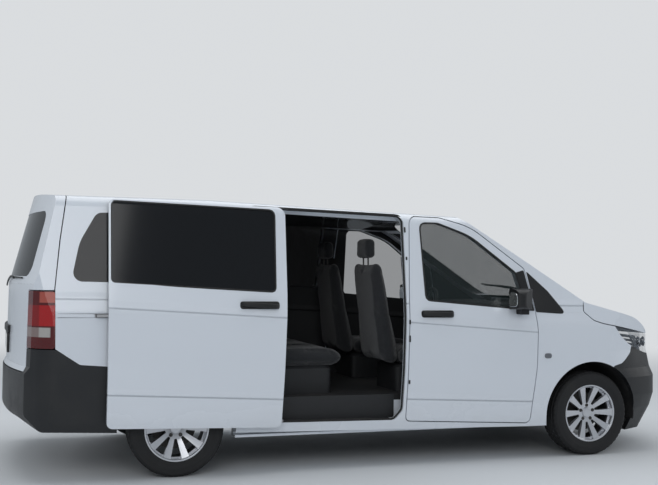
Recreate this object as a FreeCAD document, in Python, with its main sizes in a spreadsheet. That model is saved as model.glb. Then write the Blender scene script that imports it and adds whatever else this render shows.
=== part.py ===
"""Passenger minibus, long body, one sliding door standing open on the right.

Frame: +X forward, +Y left, +Z up, millimetres. The origin is on the ground, under the
middle of the vehicle. Every length that can be set by itself is a cell of the sheet.
Outlines are corner tables with the columns (along, up, corner radius); corners of side
outlines are measured along X from the axle that the piece belongs to.
"""
import FreeCAD, Part
import math
import os
from FreeCAD import Placement, Rotation, Vector

doc = FreeCAD.newDocument("Minibus")
sheet = doc.addObject("Spreadsheet::Sheet", "Sizes")

# Columns: alias, value, what it is
SIZES = [
    ("overall_length", 5200, "over both bumpers"),
    ("front_overhang", 895, "front axle to the nose"),
    ("wheelbase", 3200, "axle to axle"),
    ("half_width", 966, "centre plane to the widest part of the side"),
    ("roof_height", 1905, "ground to the crown of the roof"),
    ("shoulder_height", 1100, "ground to the shoulder line"),
    ("sill_height", 243, "ground to the lowest edge of the body side"),
    ("roof_fall", 1.83, "degrees that the front part of the roof drops forward"),
    ("wall_thickness", 60, "doors and body sides"),
    ("skin_thickness", 12, "single skins such as wings and bonnet"),
    ("bumper_thickness", 45, "bumper covers with their backing"),
    ("glass_thickness", 5, "all panes"),
    ("glass_recess", 3, "pane behind the outer surface"),
    ("pane_gap", 0.3, "pane edge to its frame"),
    ("door_gap", 7, "running gap round every door and lid"),
    ("seam", 0.3, "gap between fixed panels"),
    ("roof_half_width", 700, "roof panel, centre plane to its ditch"),
    ("slide_travel", 945, "how far back the sliding door stands"),
    ("slide_stand_off", 75, "how far out the open sliding door stands"),
    ("tyre_radius", 320, "loaded radius, also the height of the axles"),
    ("tyre_width", 205, "section width of a tyre"),
    ("rim_radius", 217, "edge of the rim that shows"),
    ("rim_width", 178, "width over the rim edges"),
    ("front_track", 1666, "between the middle planes of the front tyres"),
    ("rear_track", 1646, "between the middle planes of the rear tyres"),
    ("arch_radius", 400, "wheel arch opening"),
    ("disc_radius", 150, "brake disc"),
    ("hub_radius", 34, "hub that the rim is pressed on"),
    ("bolt_circle", 112, "diameter of the wheel bolt circle"),
    ("bolt_hole_radius", 8, "wheel bolt holes"),
    ("floor_top", 500, "ground to the cabin floor"),
    ("floor_thickness", 40, "cabin floor"),
    ("floor_half_width", 836, "cabin floor, centre plane to its edge"),
    ("seat_width", 500, "one seat"),
    ("seat_height", 330, "floor to the top of a seat cushion"),
    ("seat_depth", 500, "seat cushion, front to back"),
    ("back_height", 620, "cushion top to the top of a backrest"),
    ("cushion_thickness", 130, "seat cushions and backrests"),
    ("engine_length", 620, "engine, along the vehicle"),
    ("engine_width", 560, "engine, across the vehicle"),
    ("engine_height", 560, "engine with its sump"),
    ("tank_length", 900, "fuel tank"),
    ("exhaust_radius", 28, "exhaust pipe"),
    ("steering_wheel_radius", 190, "steering wheel, middle of its grip"),
    ("grip_radius", 15, "steering wheel grip"),
]
for row, (alias, value, note) in enumerate(SIZES, 1):
    sheet.set("A%d" % row, alias)
    sheet.set("B%d" % row, str(value))
    sheet.set("C%d" % row, note)
    sheet.setAlias("B%d" % row, alias)
doc.recompute()


def mm(alias):
    return float(sheet.get(alias))


NOSE_X = mm("overall_length") / 2
TAIL_X = -NOSE_X
FRONT_AXLE = NOSE_X - mm("front_overhang")
REAR_AXLE = FRONT_AXLE - mm("wheelbase")
HALF = mm("half_width")
WALL = mm("wall_thickness")
SKIN = mm("skin_thickness")
GAP = mm("door_gap")
SEAM = mm("seam")
AXLE_Z = mm("tyre_radius")
FAR = 6000.0
ABOVE = mm("roof_height") + 95


# Outlines

def unit(a, b):
    length = math.hypot(b[0] - a[0], b[1] - a[1])
    return ((b[0] - a[0]) / length, (b[1] - a[1]) / length)


def rounded_edges(corners):
    """Lines and tangent arcs through corners (u, v, radius), as a closed loop."""
    pieces = []
    count = len(corners)
    for i, (u, v, radius) in enumerate(corners):
        before = corners[i - 1]
        after = corners[(i + 1) % count]
        into = unit(before, (u, v))
        out = unit((u, v), after)
        turn = math.atan2(into[0] * out[1] - into[1] * out[0], into[0] * out[0] + into[1] * out[1])
        if radius < 0.5 or abs(turn) < 0.002:
            pieces.append(((u, v), None, (u, v)))
            continue
        back = radius * math.tan(abs(turn) / 2)
        bulge = radius / math.cos(turn / 2) - radius
        middle = unit((0, 0), (out[0] - into[0], out[1] - into[1]))
        pieces.append(((u - into[0] * back, v - into[1] * back),
                       (u + middle[0] * bulge, v + middle[1] * bulge),
                       (u + out[0] * back, v + out[1] * back)))
    edges = []
    for i, (start, middle, end) in enumerate(pieces):
        if middle is not None:
            edges.append(Part.Arc(flat(start), flat(middle), flat(end)))
        following = pieces[(i + 1) % count][0]
        if math.hypot(following[0] - end[0], following[1] - end[1]) > 1e-4:
            edges.append(Part.LineSegment(flat(end), flat(following)))
    return edges


def flat(point):
    return Vector(point[0], point[1], 0)


def inset(corners, amount, kept=()):
    """The same loop moved inwards by amount; edges whose index is kept stay in place."""
    count = len(corners)
    area = sum(corners[i][0] * corners[(i + 1) % count][1] - corners[(i + 1) % count][0] * corners[i][1]
               for i in range(count))
    side = 1.0 if area > 0 else -1.0
    lines = []
    for i in range(count):
        a, b = corners[i], corners[(i + 1) % count]
        along = unit(a, b)
        shift = 0.0 if i in kept else amount
        normal = (-along[1] * side, along[0] * side)
        lines.append(((a[0] + normal[0] * shift, a[1] + normal[1] * shift), along))
    moved = []
    for i in range(count):
        (p, d), (q, e) = lines[i - 1], lines[i]
        cross = d[0] * e[1] - d[1] * e[0]
        if abs(cross) < 1e-6:
            moved.append((q[0], q[1], 0))
            continue
        s = ((q[0] - p[0]) * e[1] - (q[1] - p[1]) * e[0]) / cross
        convex = cross * side > 0
        radius = corners[i][2]
        if radius > 0:
            radius = max(radius - amount if convex else radius + amount, 0)
        moved.append((p[0] + d[0] * s, p[1] + d[1] * s, radius))
    return moved


def mirrored(half):
    """A closed loop from a half outline (u, v, radius) with u >= 0, starting and ending near u = 0."""
    other = [(-u, v, radius) for (u, v, radius) in reversed(half) if u > 0]
    return half + other


PLANES = {
    "side": Rotation(Vector(1, 0, 0), 90),
    "section": Rotation(Vector(1, 1, 1), 120),
    "plan": Rotation(),
}
AWAY = {"side": Vector(0, -1, 0), "section": Vector(1, 0, 0), "plan": Vector(0, 0, 1)}


def sketch(name, plane, corners, offset=0.0):
    """Sketch of a rounded loop on a side, section or plan plane, offset along the plane's normal."""
    drawn = doc.addObject("Sketcher::SketchObject", name)
    drawn.addGeometry(rounded_edges(corners), False)
    drawn.Placement = Placement(AWAY[plane] * offset, PLANES[plane])
    return drawn


def extrude(name, base, direction, forward, backward=0.0):
    solid = doc.addObject("Part::Extrusion", name)
    solid.Base = base
    solid.DirMode = "Custom"
    solid.Dir = direction
    solid.LengthFwd = forward
    solid.LengthRev = backward
    solid.Solid = True
    return solid


def prism(name, plane, corners, start, end):
    """Rounded loop extruded from start to end along +Y, +X or +Z."""
    along = {"side": Vector(0, 1, 0), "section": Vector(1, 0, 0), "plan": Vector(0, 0, 1)}[plane]
    offset = -start if plane == "side" else start
    return extrude(name, sketch(name + "_outline", plane, corners, offset), along, end - start)


def box(name, x, y, z):
    """Box between the given limits, each a pair (low, high)."""
    solid = doc.addObject("Part::Box", name)
    solid.Length = x[1] - x[0]
    solid.Width = y[1] - y[0]
    solid.Height = z[1] - z[0]
    solid.Placement.Base = Vector(x[0], y[0], z[0])
    return solid


def cylinder(name, radius, start, end, bound=None):
    """Cylinder between two points; its radius may be bound to a cell."""
    solid = doc.addObject("Part::Cylinder", name)
    axis = Vector(*end) - Vector(*start)
    solid.Radius = radius
    solid.Height = axis.Length
    solid.Placement = Placement(Vector(*start), Rotation(Vector(0, 0, 1), axis))
    if bound:
        solid.setExpression("Radius", "Sizes." + bound)
    return solid


def common(name, *solids):
    both = doc.addObject("Part::MultiCommon", name)
    both.Shapes = list(solids)
    return both


def fuse(name, *solids):
    joined = doc.addObject("Part::MultiFuse", name)
    joined.Shapes = list(solids)
    joined.Refine = True
    return joined


def cut(name, base, *tools):
    rest = base
    for index, tool in enumerate(tools):
        last = index == len(tools) - 1
        step = doc.addObject("Part::Cut", name if last else "%s_cut_%d" % (name, index + 1))
        step.Base = rest
        step.Tool = tool
        rest = step
    return rest


def group(name, *solids):
    """Solids of one node that don't touch each other."""
    joined = doc.addObject("Part::Compound", name)
    joined.Links = list(solids)
    return joined


def mirror(name, source):
    other = doc.addObject("Part::Mirroring", name)
    other.Source = source
    other.Base = Vector(0, 0, 0)
    other.Normal = Vector(0, 1, 0)
    return other


def moved(name, source, placement):
    copy = group(name, source)
    copy.Placement = placement
    return copy


NODES = []


def node(name, solid):
    solid.Label = name
    NODES.append(solid)
    return solid


def at_front(corners):
    """Corner table measured from the front axle."""
    return [(FRONT_AXLE + x, z, radius) for (x, z, radius) in corners]


def at_rear(corners):
    """Corner table measured from the rear axle."""
    return [(REAR_AXLE + x, z, radius) for (x, z, radius) in corners]


# Body envelope: cross section, plan, nose and tail outlines

SHOULDER = mm("shoulder_height")
ROOF = mm("roof_height")
SILL = mm("sill_height")
UNDER = SILL - 93
SECTION_X = REAR_AXLE + 225
# Columns: across from the centre plane, up, corner radius
SECTION = mirrored([
    (0, ROOF + 20, 8500),
    (HALF - 155, ROOF - 39, 90),
    (HALF - 13, SHOULDER, 300),
    (HALF, SHOULDER - 380, 2000),
    (HALF - 20, SILL + 137, 300),
    (HALF - 70, UNDER, 0),
])
# Columns: along, across, corner radius
PLAN = [(FRONT_AXLE + 1300, HALF, 0), (REAR_AXLE - 845, HALF, 250), (REAR_AXLE - 1025, HALF - 176, 400),
        (REAR_AXLE - 1300, 0, 0)]
PLAN = PLAN + [(x, -y, radius) for (x, y, radius) in reversed(PLAN[:-1])]
CORNER_START = FRONT_AXLE - 400
CORNER = [(CORNER_START, HALF, 0), (FRONT_AXLE + 315, HALF, 900), (FRONT_AXLE + 640, HALF - 166, 250),
          (FRONT_AXLE + 1100, 0, 0)]
CORNER = CORNER + [(x, -y, radius) for (x, y, radius) in reversed(CORNER[:-1])]
CORNER_SIDES = (0, 5, 6)
CORNER_BACK = (6,)
# Columns: up, how far the front corners are drawn in at that height
CORNER_LEVELS = [(0, 170), (UNDER, 98), (350, 0), (450, -28), (590, -28), (660, 2), (800, 30), (ABOVE + 100, 36)]
NOSE_AXIS = FRONT_AXLE - 2675
NOSE = [
    (NOSE_AXIS, ABOVE, 0),
    (FRONT_AXLE - 934, ROOF - 65, 700),
    (FRONT_AXLE + 110, 1172, 60),
    (FRONT_AXLE + 729, 1009, 400),
    (FRONT_AXLE + 808, 715, 30),
    (NOSE_X, 600, 60),
    (NOSE_X, 420, 120),
    (NOSE_X - 190, UNDER, 0),
    (NOSE_AXIS, UNDER, 0),
]
TAIL_AXIS = REAR_AXLE + 1795
TAIL = [
    (TAIL_AXIS, ABOVE + 50, 0),
    (REAR_AXLE - 905, ROOF + 30, 0),
    (REAR_AXLE - 1075, 1280, 60),
    (TAIL_X + 22, 745, 10),
    (TAIL_X, 700, 20),
    (TAIL_X, 430, 60),
    (TAIL_X + 190, UNDER, 0),
    (TAIL_AXIS, UNDER, 0),
]


def half_turned(name, corners, axis_x, forward):
    """Outline turned half a turn about the upright line at axis_x, with a block behind it."""
    angle = -90 if forward else 90
    drawn = sketch(name + "_outline", "side", corners)
    turned = doc.addObject("Part::Revolution", name + "_turned")
    turned.Source = drawn
    turned.Axis = Vector(0, 0, 1)
    turned.Base = Vector(axis_x, 0, 0)
    turned.Angle = 180
    turned.Symmetric = True
    turned.Solid = True
    low = min(c[1] for c in corners)
    high = max(c[1] for c in corners)
    far = max(abs(c[0] - axis_x) for c in corners)
    span = (axis_x - FAR, axis_x) if forward else (axis_x, axis_x + FAR)
    behind = box(name + "_block", span, (-far, far), (low, high))
    return fuse(name, turned, behind)


def front_corner(name, amount):
    """Plan of the front end, fullest at the bumper, lofted through its levels, with a block behind it."""
    sections = []
    for i, (up, drawn_in) in enumerate(CORNER_LEVELS):
        level = inset(inset(CORNER, drawn_in, kept=CORNER_SIDES), amount, kept=CORNER_BACK)
        sections.append(sketch("%s_level_%d" % (name, i), "plan", level, up))
    ahead = doc.addObject("Part::Loft", name + "_ahead")
    ahead.Sections = sections
    ahead.Solid = True
    ahead.Ruled = True
    width = HALF - amount
    behind = box(name + "_block", (-FAR, CORNER_START), (-width, width), (0, CORNER_LEVELS[-1][0]))
    return fuse(name, ahead, behind)


HULLS = {}


def hull(amount):
    """The whole body's outer form moved inwards by amount."""
    if amount not in HULLS:
        tag = "hull_%02d_" % round(amount * 10)
        fall = math.radians(mm("roof_fall"))
        section = inset(SECTION, amount)
        rear = extrude(tag + "rear", sketch(tag + "rear_section", "section", section, SECTION_X),
                       Vector(-1, 0, 0), FAR)
        front = extrude(tag + "front", sketch(tag + "front_section", "section", section, SECTION_X),
                        Vector(math.cos(fall), 0, -math.sin(fall)), FAR)
        plan = prism(tag + "plan", "plan", inset(PLAN, amount), 0, FAR)
        nose = half_turned(tag + "nose", inset(NOSE, amount, kept=(len(NOSE) - 1,)), NOSE_AXIS, True)
        tail = half_turned(tag + "tail", inset(TAIL, amount, kept=(len(TAIL) - 1,)), TAIL_AXIS, False)
        along = fuse(tag + "along", rear, front)
        corner = front_corner(tag + "corner", amount)
        HULLS[amount] = common(tag + "form", along, plan, corner, nose, tail)
    return HULLS[amount]


def layer(name, region, outside, inside):
    """What lies in the region between two depths below the outer surface."""
    return cut(name, common(name + "_part", region, hull(outside)), hull(inside))


def pane(name, region):
    recess = mm("glass_recess")
    return layer(name, region, recess, recess + mm("glass_thickness"))


def side_prism(name, corners, right, inner=700):
    """Side outline as a prism through one side only, from beyond the body in to its inner limit."""
    if right:
        return prism(name, "side", corners, -HALF - 60, -inner)
    return prism(name, "side", corners, inner, HALF + 60)


def grown(corners, amount):
    return inset(corners, -amount)


# Side outlines, columns: along from an axle, up, corner radius
FRONT_DOOR = at_front([
    (-1486, 1800, 60), (-1240, 1796, 90), (-992, 1730, 500), (-566, 1425, 40), (-499, 1103, 200),
    (-482, 954, 200), (-493, 701, 300), (-545, 271, 40), (-1552, 322, 30), (-1524, 1192, 400),
])
FRONT_WINDOW = at_front([
    (-1410, 1755, 50), (-1263, 1755, 70), (-1004, 1668, 500), (-640, 1396, 20), (-560, 1119, 30),
    (-1395, 1187, 40),
])
SLIDE_OPENING = at_front([
    (-2715, 1833, 60), (-1538, 1803, 60), (-1550, 1188, 400), (-1578, 400, 60), (-1640, 330, 60),
    (-2715, 345, 60),
])
SLIDE_DOOR = at_front([
    (-2730, 1818, 40), (-1520, 1800, 60), (-1526, 1192, 400), (-1560, 290, 40),
    (-2730, 323, 40),
])
SLIDE_WINDOW = at_front([
    (-2717, 1806, 30), (-1597, 1777, 45), (-1608, 1212, 30), (-2717, 1268, 30),
])
QUARTER_WINDOW_RIGHT = at_rear([
    (-707, 1302, 60), (-655, 1560, 300), (-545, 1757, 60), (395, 1790, 40), (395, 1286, 40),
])
MIDDLE_WINDOW_LEFT = at_front([
    (-2720, 1796, 40), (-1620, 1786, 40), (-1645, 1236, 40), (-2720, 1288, 40),
])
SIDE_OUTLINE = at_rear([
    (-737, 1990, 0), (-737, 1857, 0), (-776, 1570, 300), (-806, 1251, 0), (-800, 868, 0), (-645, 765, 40),
    (-395, 745, 0), (-398, 296, 0),
]) + at_front([
    (-556, SILL, 0), (-556, 1096, 0), (60, 1096, 0), (60, 1990, 0),
])
WING = at_front([
    (-556 + SEAM, 1096 - SEAM, 0), (396, 1096 - SEAM, 0), (396, 833, 0), (376, 782, 40), (304, 724, 0),
    (270, 702, 30), (195, 685, 0), (120, 600, 0), (120, SILL, 0), (-556 + SEAM, SILL, 0),
])
HEADLAMP = at_front([
    (195, 1100, 0), (195, 998, 0), (262, 918, 60), (345, 856, 60), (396, 833, 0), (479, 802, 0), (570, 773, 0),
    (1000, 707, 0), (1000, 1100, 0),
])
BUMPER_FRONT = at_front([(120, 900, 0), (1000, 900, 0), (1000, 165, 0), (120, 165, 0)])
BONNET = at_front([
    (-150, 1400, 0), (1000, 1400, 0), (1000, 880, 0), (790, 893, 0), (191, 998, 0), (100, 1014, 150),
    (16, 1038, 80), (-64, 1101, 60), (-110, 1190, 0),
])
BUMPER_REAR = at_rear([
    (-395, 745 - SEAM, 0), (-645, 765 - SEAM, 40), (-797, 862, 10), (-1300, 862, 0), (-1300, 420, 0), (-1010, 400, 60),
    (-880, 335, 60), (-398, 313, 0),
])
TAILGATE = at_rear([
    (-744, 2000, 0), (-744, 1857, 0), (-783, 1570, 300), (-813, 1245, 0), (-1300, 1245, 0), (-1300, 2000, 0),
])
TAIL_LAMP = at_rear([
    (-807, 1238, 20), (-801, 869, 20), (-1300, 869, 0), (-1300, 1238, 0),
])
LAMP_INNER = HALF - 176


def side_panel(right):
    """Body side with its pillars, sill and quarter, its door openings and windows cut."""
    tag = "right_" if right else "left_"
    y_far = HALF + 300
    roof_y = mm("roof_half_width")
    outer_y = (-y_far, -roof_y) if right else (roof_y, y_far)
    region = prism(tag + "region", "side", SIDE_OUTLINE, outer_y[0], outer_y[1])
    pane_gap = mm("pane_gap")
    tools = [side_prism(tag + "front_doorway", grown(FRONT_DOOR, GAP), right)]
    tools.append(side_prism(tag + "quarter_hole", grown(QUARTER_WINDOW_RIGHT, pane_gap), right))
    if right:
        tools.append(side_prism(tag + "doorway", SLIDE_OPENING, True))
    else:
        tools.append(side_prism(tag + "middle_hole", grown(MIDDLE_WINDOW_LEFT, pane_gap), False))
    tools.append(arch(tag + "rear_arch", REAR_AXLE, right))
    tools.append(screen_prism(tag + "screen_hole", pane_gap))
    tools.append(bonnet_room(tag + "bonnet_room", GAP))
    if right:
        tools.append(box("rail_slot", (REAR_AXLE - 790, FRONT_AXLE - 2700), (-HALF - 50, -HALF + 41 + SEAM),
                         (1081 - 14, 1081 + 14)))
    panel = cut(tag + "pierced", layer(tag + "wall", region, 0, WALL), *tools)
    low, high, flange = HALF - 191, HALF - 131, HALF - 80
    inner = (-high, -low) if right else (low, high)
    outer = (-flange, -low) if right else (low, flange)
    floor_bottom = mm("floor_top") - mm("floor_thickness") - SEAM
    x = (REAR_AXLE + mm("arch_radius") + 5, FRONT_AXLE - 415)
    sill = box(tag + "sill_box", x, inner, (SILL, floor_bottom))
    ledge = box(tag + "sill_ledge", x, outer, (SILL, SILL + 17))
    hinge_post = box(tag + "hinge_post", (FRONT_AXLE - 480 + SEAM, FRONT_AXLE - 415), inner, (floor_bottom, 1130))
    return fuse(tag + "side", panel, sill, ledge, hinge_post)


BONNET_BACK = 2472.0
BONNET_BACK_AXIS = FRONT_AXLE + 115 - BONNET_BACK


def bonnet_room(name, margin):
    """Room that the bonnet takes, over its shut line and ahead of its curved back edge, with a margin."""
    over = prism(name + "_side", "side", grown(BONNET, margin), -HALF - 60, HALF + 60)
    behind = cylinder(name + "_back", BONNET_BACK - margin, (BONNET_BACK_AXIS, 0, 700), (BONNET_BACK_AXIS, 0, 1600))
    return cut(name, over, behind)


def arch(name, x, right):
    inner = mm("floor_half_width") - 240
    y = (-HALF - 300, -inner) if right else (inner, HALF + 300)
    return cylinder(name, mm("arch_radius"), (x, y[0], AXLE_Z), (x, y[1], AXLE_Z), "arch_radius")


def screen_prism(name, extra):
    """Windscreen outline across the vehicle, run forward from the front seats."""
    corners = [(HALF - 186, 1188, 60), (HALF - 276, 1800, 90), (-HALF + 276, 1800, 90), (-HALF + 186, 1188, 60)]
    return prism(name, "section", grown(corners, extra), FRONT_AXLE - 1300, FRONT_AXLE + 400)


def across(name, corners, low_y, high_y):
    return prism(name, "side", corners, low_y, high_y)


node("side_panel_right", side_panel(True))
node("side_panel_left", side_panel(False))

# Roof, windscreen and fixed side windows

roof_y = mm("roof_half_width") - SEAM
roof_region = box("roof_region", (REAR_AXLE - 737, FRONT_AXLE - 700), (-roof_y, roof_y), (1700, ABOVE))
node("roof_panel", cut("roof", layer("roof_wall", roof_region, 0, WALL), screen_prism("roof_screen_hole", 0.3)))
node("windscreen", pane("windscreen_pane", screen_prism("screen_region", 0)))
node("side_glass_right", pane("right_quarter", side_prism("right_quarter_region", QUARTER_WINDOW_RIGHT, True)))
left_panes = group("left_panes",
                   pane("left_quarter", side_prism("left_quarter_region", QUARTER_WINDOW_RIGHT, False)),
                   pane("left_middle", side_prism("left_middle_region", MIDDLE_WINDOW_LEFT, False)))
node("side_glass_left", left_panes)


# Front doors

def pair(name, right_solid):
    """The right piece and its mirror image on the left, as two nodes."""
    node(name + "_right", right_solid)
    node(name + "_left", mirror(name + "_mirrored", right_solid))


door_slab = layer("door_slab", side_prism("door_region", FRONT_DOOR, True), 0, WALL)
pair("front_door", cut("door", door_slab,
                       side_prism("door_window_hole", grown(FRONT_WINDOW, mm("pane_gap")), True)))
pair("door_glass", pane("door_pane", side_prism("door_pane_region", FRONT_WINDOW, True)))


# Mirrors: a rounded housing on a short arm from the door's front corner

def door_mirror():
    inner, outer = -HALF + 2, -HALF - 164
    plan = [(FRONT_AXLE - 745, inner, 20), (FRONT_AXLE - 745, outer + 14, 25), (FRONT_AXLE - 690, outer, 50),
            (FRONT_AXLE - 590, outer + 64, 70), (FRONT_AXLE - 572, inner, 40)]
    behind = [(inner, 1120, 35), (outer, 1132, 45), (outer, 1262, 60), (inner, 1285, 50)]
    housing = common("mirror_shell", prism("mirror_plan", "plan", plan, 1100, 1300),
                     prism("mirror_behind", "section", behind, FRONT_AXLE - 800, FRONT_AXLE - 500))
    arm = box("mirror_arm", (FRONT_AXLE - 660, FRONT_AXLE - 600), (-HALF - 60, -HALF + WALL), (1085, 1140))
    door_skin = moved("mirror_seat", hull(0), Placement(Vector(0, -SEAM, 0), Rotation()))
    return fuse("mirror", housing, cut("mirror_foot", arm, door_skin))


pair("mirror", door_mirror())

# Sliding door, standing open behind its doorway

slide_rise = mm("slide_travel") * math.tan(math.radians(mm("roof_fall")))
OPEN = Vector(-mm("slide_travel"), -mm("slide_stand_off"), slide_rise)
slab = layer("slide_slab", side_prism("slide_region", SLIDE_DOOR, True, 765), 0, mm("bumper_thickness"))
sliding_door = cut("slide", slab, side_prism("slide_window_hole", grown(SLIDE_WINDOW, mm("pane_gap")), True))
sliding_pane = pane("slide_pane", side_prism("slide_pane_region", SLIDE_WINDOW, True))


node("sliding_door", moved("slide_open", sliding_door, Placement(OPEN, Rotation())))
node("sliding_door_glass", moved("slide_pane_open", sliding_pane, Placement(OPEN, Rotation())))

# Rail along the quarter with the roller arms that carry the sliding door

RAIL_Z = 1081
rail_depth = HALF - 41
rail_x = (REAR_AXLE - 785, FRONT_AXLE - 2715)
door_inside = HALF + mm("slide_stand_off")
rail_bar = box("rail_bar", rail_x, (-rail_depth - 6, -rail_depth), (RAIL_Z - 12, RAIL_Z + 12))
inside_door = moved("inside_open_door", hull(mm("bumper_thickness")), Placement(OPEN + Vector(0, SEAM, 0), Rotation()))
rear_arm = common("rear_arm", inside_door, box("rear_arm_bar", (TAIL_X + 560, TAIL_X + 700),
                                               (-door_inside, -rail_depth - 6), (RAIL_Z - 9, RAIL_Z + 9)))
sill_out = HALF - 131
low_arm = common("low_arm", inside_door, box("low_arm_bar", (FRONT_AXLE - 2540, FRONT_AXLE - 2480),
                                             (-door_inside, -sill_out - SEAM), (348, 366)))
node("door_rails", group("rails_and_arms", fuse("rail_and_arm", rail_bar, rear_arm), low_arm))

# Wings, bonnet, bumpers, grille and lamps

node("bonnet", layer("bonnet_skin", bonnet_room("bonnet_place", 0), 0, SKIN))

scuttle_room = box("scuttle_room", (FRONT_AXLE - 100, FRONT_AXLE + 130),
                   (-mm("roof_half_width"), mm("roof_half_width")), (1050, 1300))
scuttle_region = cut("scuttle_region", scuttle_room, screen_prism("scuttle_screen", mm("pane_gap")),
                     bonnet_room("scuttle_bonnet_room", GAP))
node("scuttle", layer("scuttle_cover", scuttle_region, mm("glass_recess"), SKIN))

pair("wing", cut("wing", layer("wing_skin", side_prism("wing_region", WING, True, 450), 0, SKIN),
                 scuttle_room,
                 bonnet_room("wing_bonnet_room", GAP),
                 across("wing_lamp_place", grown(HEADLAMP, SEAM), -HALF - 60, -450),
                 side_prism("wing_door_edge", grown(FRONT_DOOR, GAP), True),
                 arch("front_arch", FRONT_AXLE, True)))

bumper = mm("bumper_thickness")
lamp_y = 500
front_cover = layer("front_cover", across("front_cover_region", BUMPER_FRONT, -HALF - 50, HALF + 50), 0, bumper)
intake = box("lower_intake", (NOSE_X - 400, NOSE_X + 100), (-520, 520), (330, 470))
house_room = mm("arch_radius") + 9
house_cuts = [cylinder("cover_house_%d" % i, house_room, (FRONT_AXLE, side * 300, AXLE_Z),
                       (FRONT_AXLE, side * (HALF - 60), AXLE_Z)) for i, side in enumerate((-1, 1))]
node("front_bumper", cut("front_bumper_cut", front_cover, intake, *house_cuts,
                         across("cover_wing_place", grown(WING, SEAM), -HALF - 60, HALF + 60),
                         across("cover_lamp_place", grown(HEADLAMP, SEAM), -HALF - 60, HALF + 60),
                         arch("front_cover_arch_right", FRONT_AXLE, True),
                         arch("front_cover_arch_left", FRONT_AXLE, False)))

lamp = cut("headlamp", layer("headlamp_block", across("headlamp_region", HEADLAMP, -HALF - 50, -lamp_y), 0, bumper),
           bonnet_room("lamp_bonnet_room", GAP))
node("headlamps", group("both_headlamps", lamp, mirror("headlamp_left", lamp)))

grille_half = lamp_y - SEAM
grille_region = common("grille_region", across("grille_place", HEADLAMP, -grille_half, grille_half),
                       box("grille_room", (FRONT_AXLE + 600, NOSE_X + 50), (-grille_half, grille_half), (700, 885)))
slots = [box("grille_slot_%d" % i, (FRONT_AXLE + 600, NOSE_X + 50), (-lamp_y + 25, lamp_y - 25),
             (779 + i * 34, 797 + i * 34)) for i in range(3)]
node("grille", cut("grille_slats", layer("grille_block", grille_region, mm("glass_recess"), bumper), *slots))

rear_cover = layer("rear_cover", across("rear_cover_region", BUMPER_REAR, -HALF - 50, HALF + 50), 0, bumper)
gate_room = box("gate_room", (TAIL_X - 100, REAR_AXLE - 700), (-LAMP_INNER - SEAM, LAMP_INNER + SEAM), (705, 1300))
node("rear_bumper", cut("rear_bumper_cut", rear_cover, gate_room,
                        arch("rear_cover_arch_right", REAR_AXLE, True),
                        arch("rear_cover_arch_left", REAR_AXLE, False)))

tail = layer("tail_lamp", across("tail_lamp_region", TAIL_LAMP, -HALF - 50, -LAMP_INNER), 0, WALL)
node("tail_lamps", group("both_tail_lamps", tail, mirror("tail_lamp_left", tail)))

# Tailgate with its window

gate_upper = across("gate_upper", TAILGATE, -HALF - 50, HALF + 50)
gate_lower = box("gate_lower", (TAIL_X - 100, REAR_AXLE - 760), (-LAMP_INNER + GAP, LAMP_INNER - GAP),
                 (712, 1246))
gate = layer("gate_wall", fuse("gate_region", gate_upper, gate_lower), 0, WALL)
REAR_WINDOW = [(HALF - 206, 1330, 80), (HALF - 246, 1768, 80), (-HALF + 246, 1768, 80), (-HALF + 206, 1330, 80)]
node("tailgate", cut("gate", gate, prism("gate_window_hole", "section", grown(REAR_WINDOW, mm("pane_gap")),
                                         TAIL_X - 100, REAR_AXLE - 700)))
node("tailgate_glass", pane("gate_pane", prism("gate_pane_region", "section", REAR_WINDOW,
                                               TAIL_X - 100, REAR_AXLE - 700)))

# Steering axes, then floor, rails and wheel houses

FRONT_HALF = mm("front_track") / 2
REAR_HALF = mm("rear_track") / 2
ball = (FRONT_HALF - 88, 200)
mount = (FRONT_HALF - 253, 950)


def strut_y(up):
    """Distance of the strut's centre line from the centre plane at a height."""
    return ball[0] + (mount[0] - ball[0]) * (up - ball[1]) / (mount[1] - ball[1])


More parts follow.
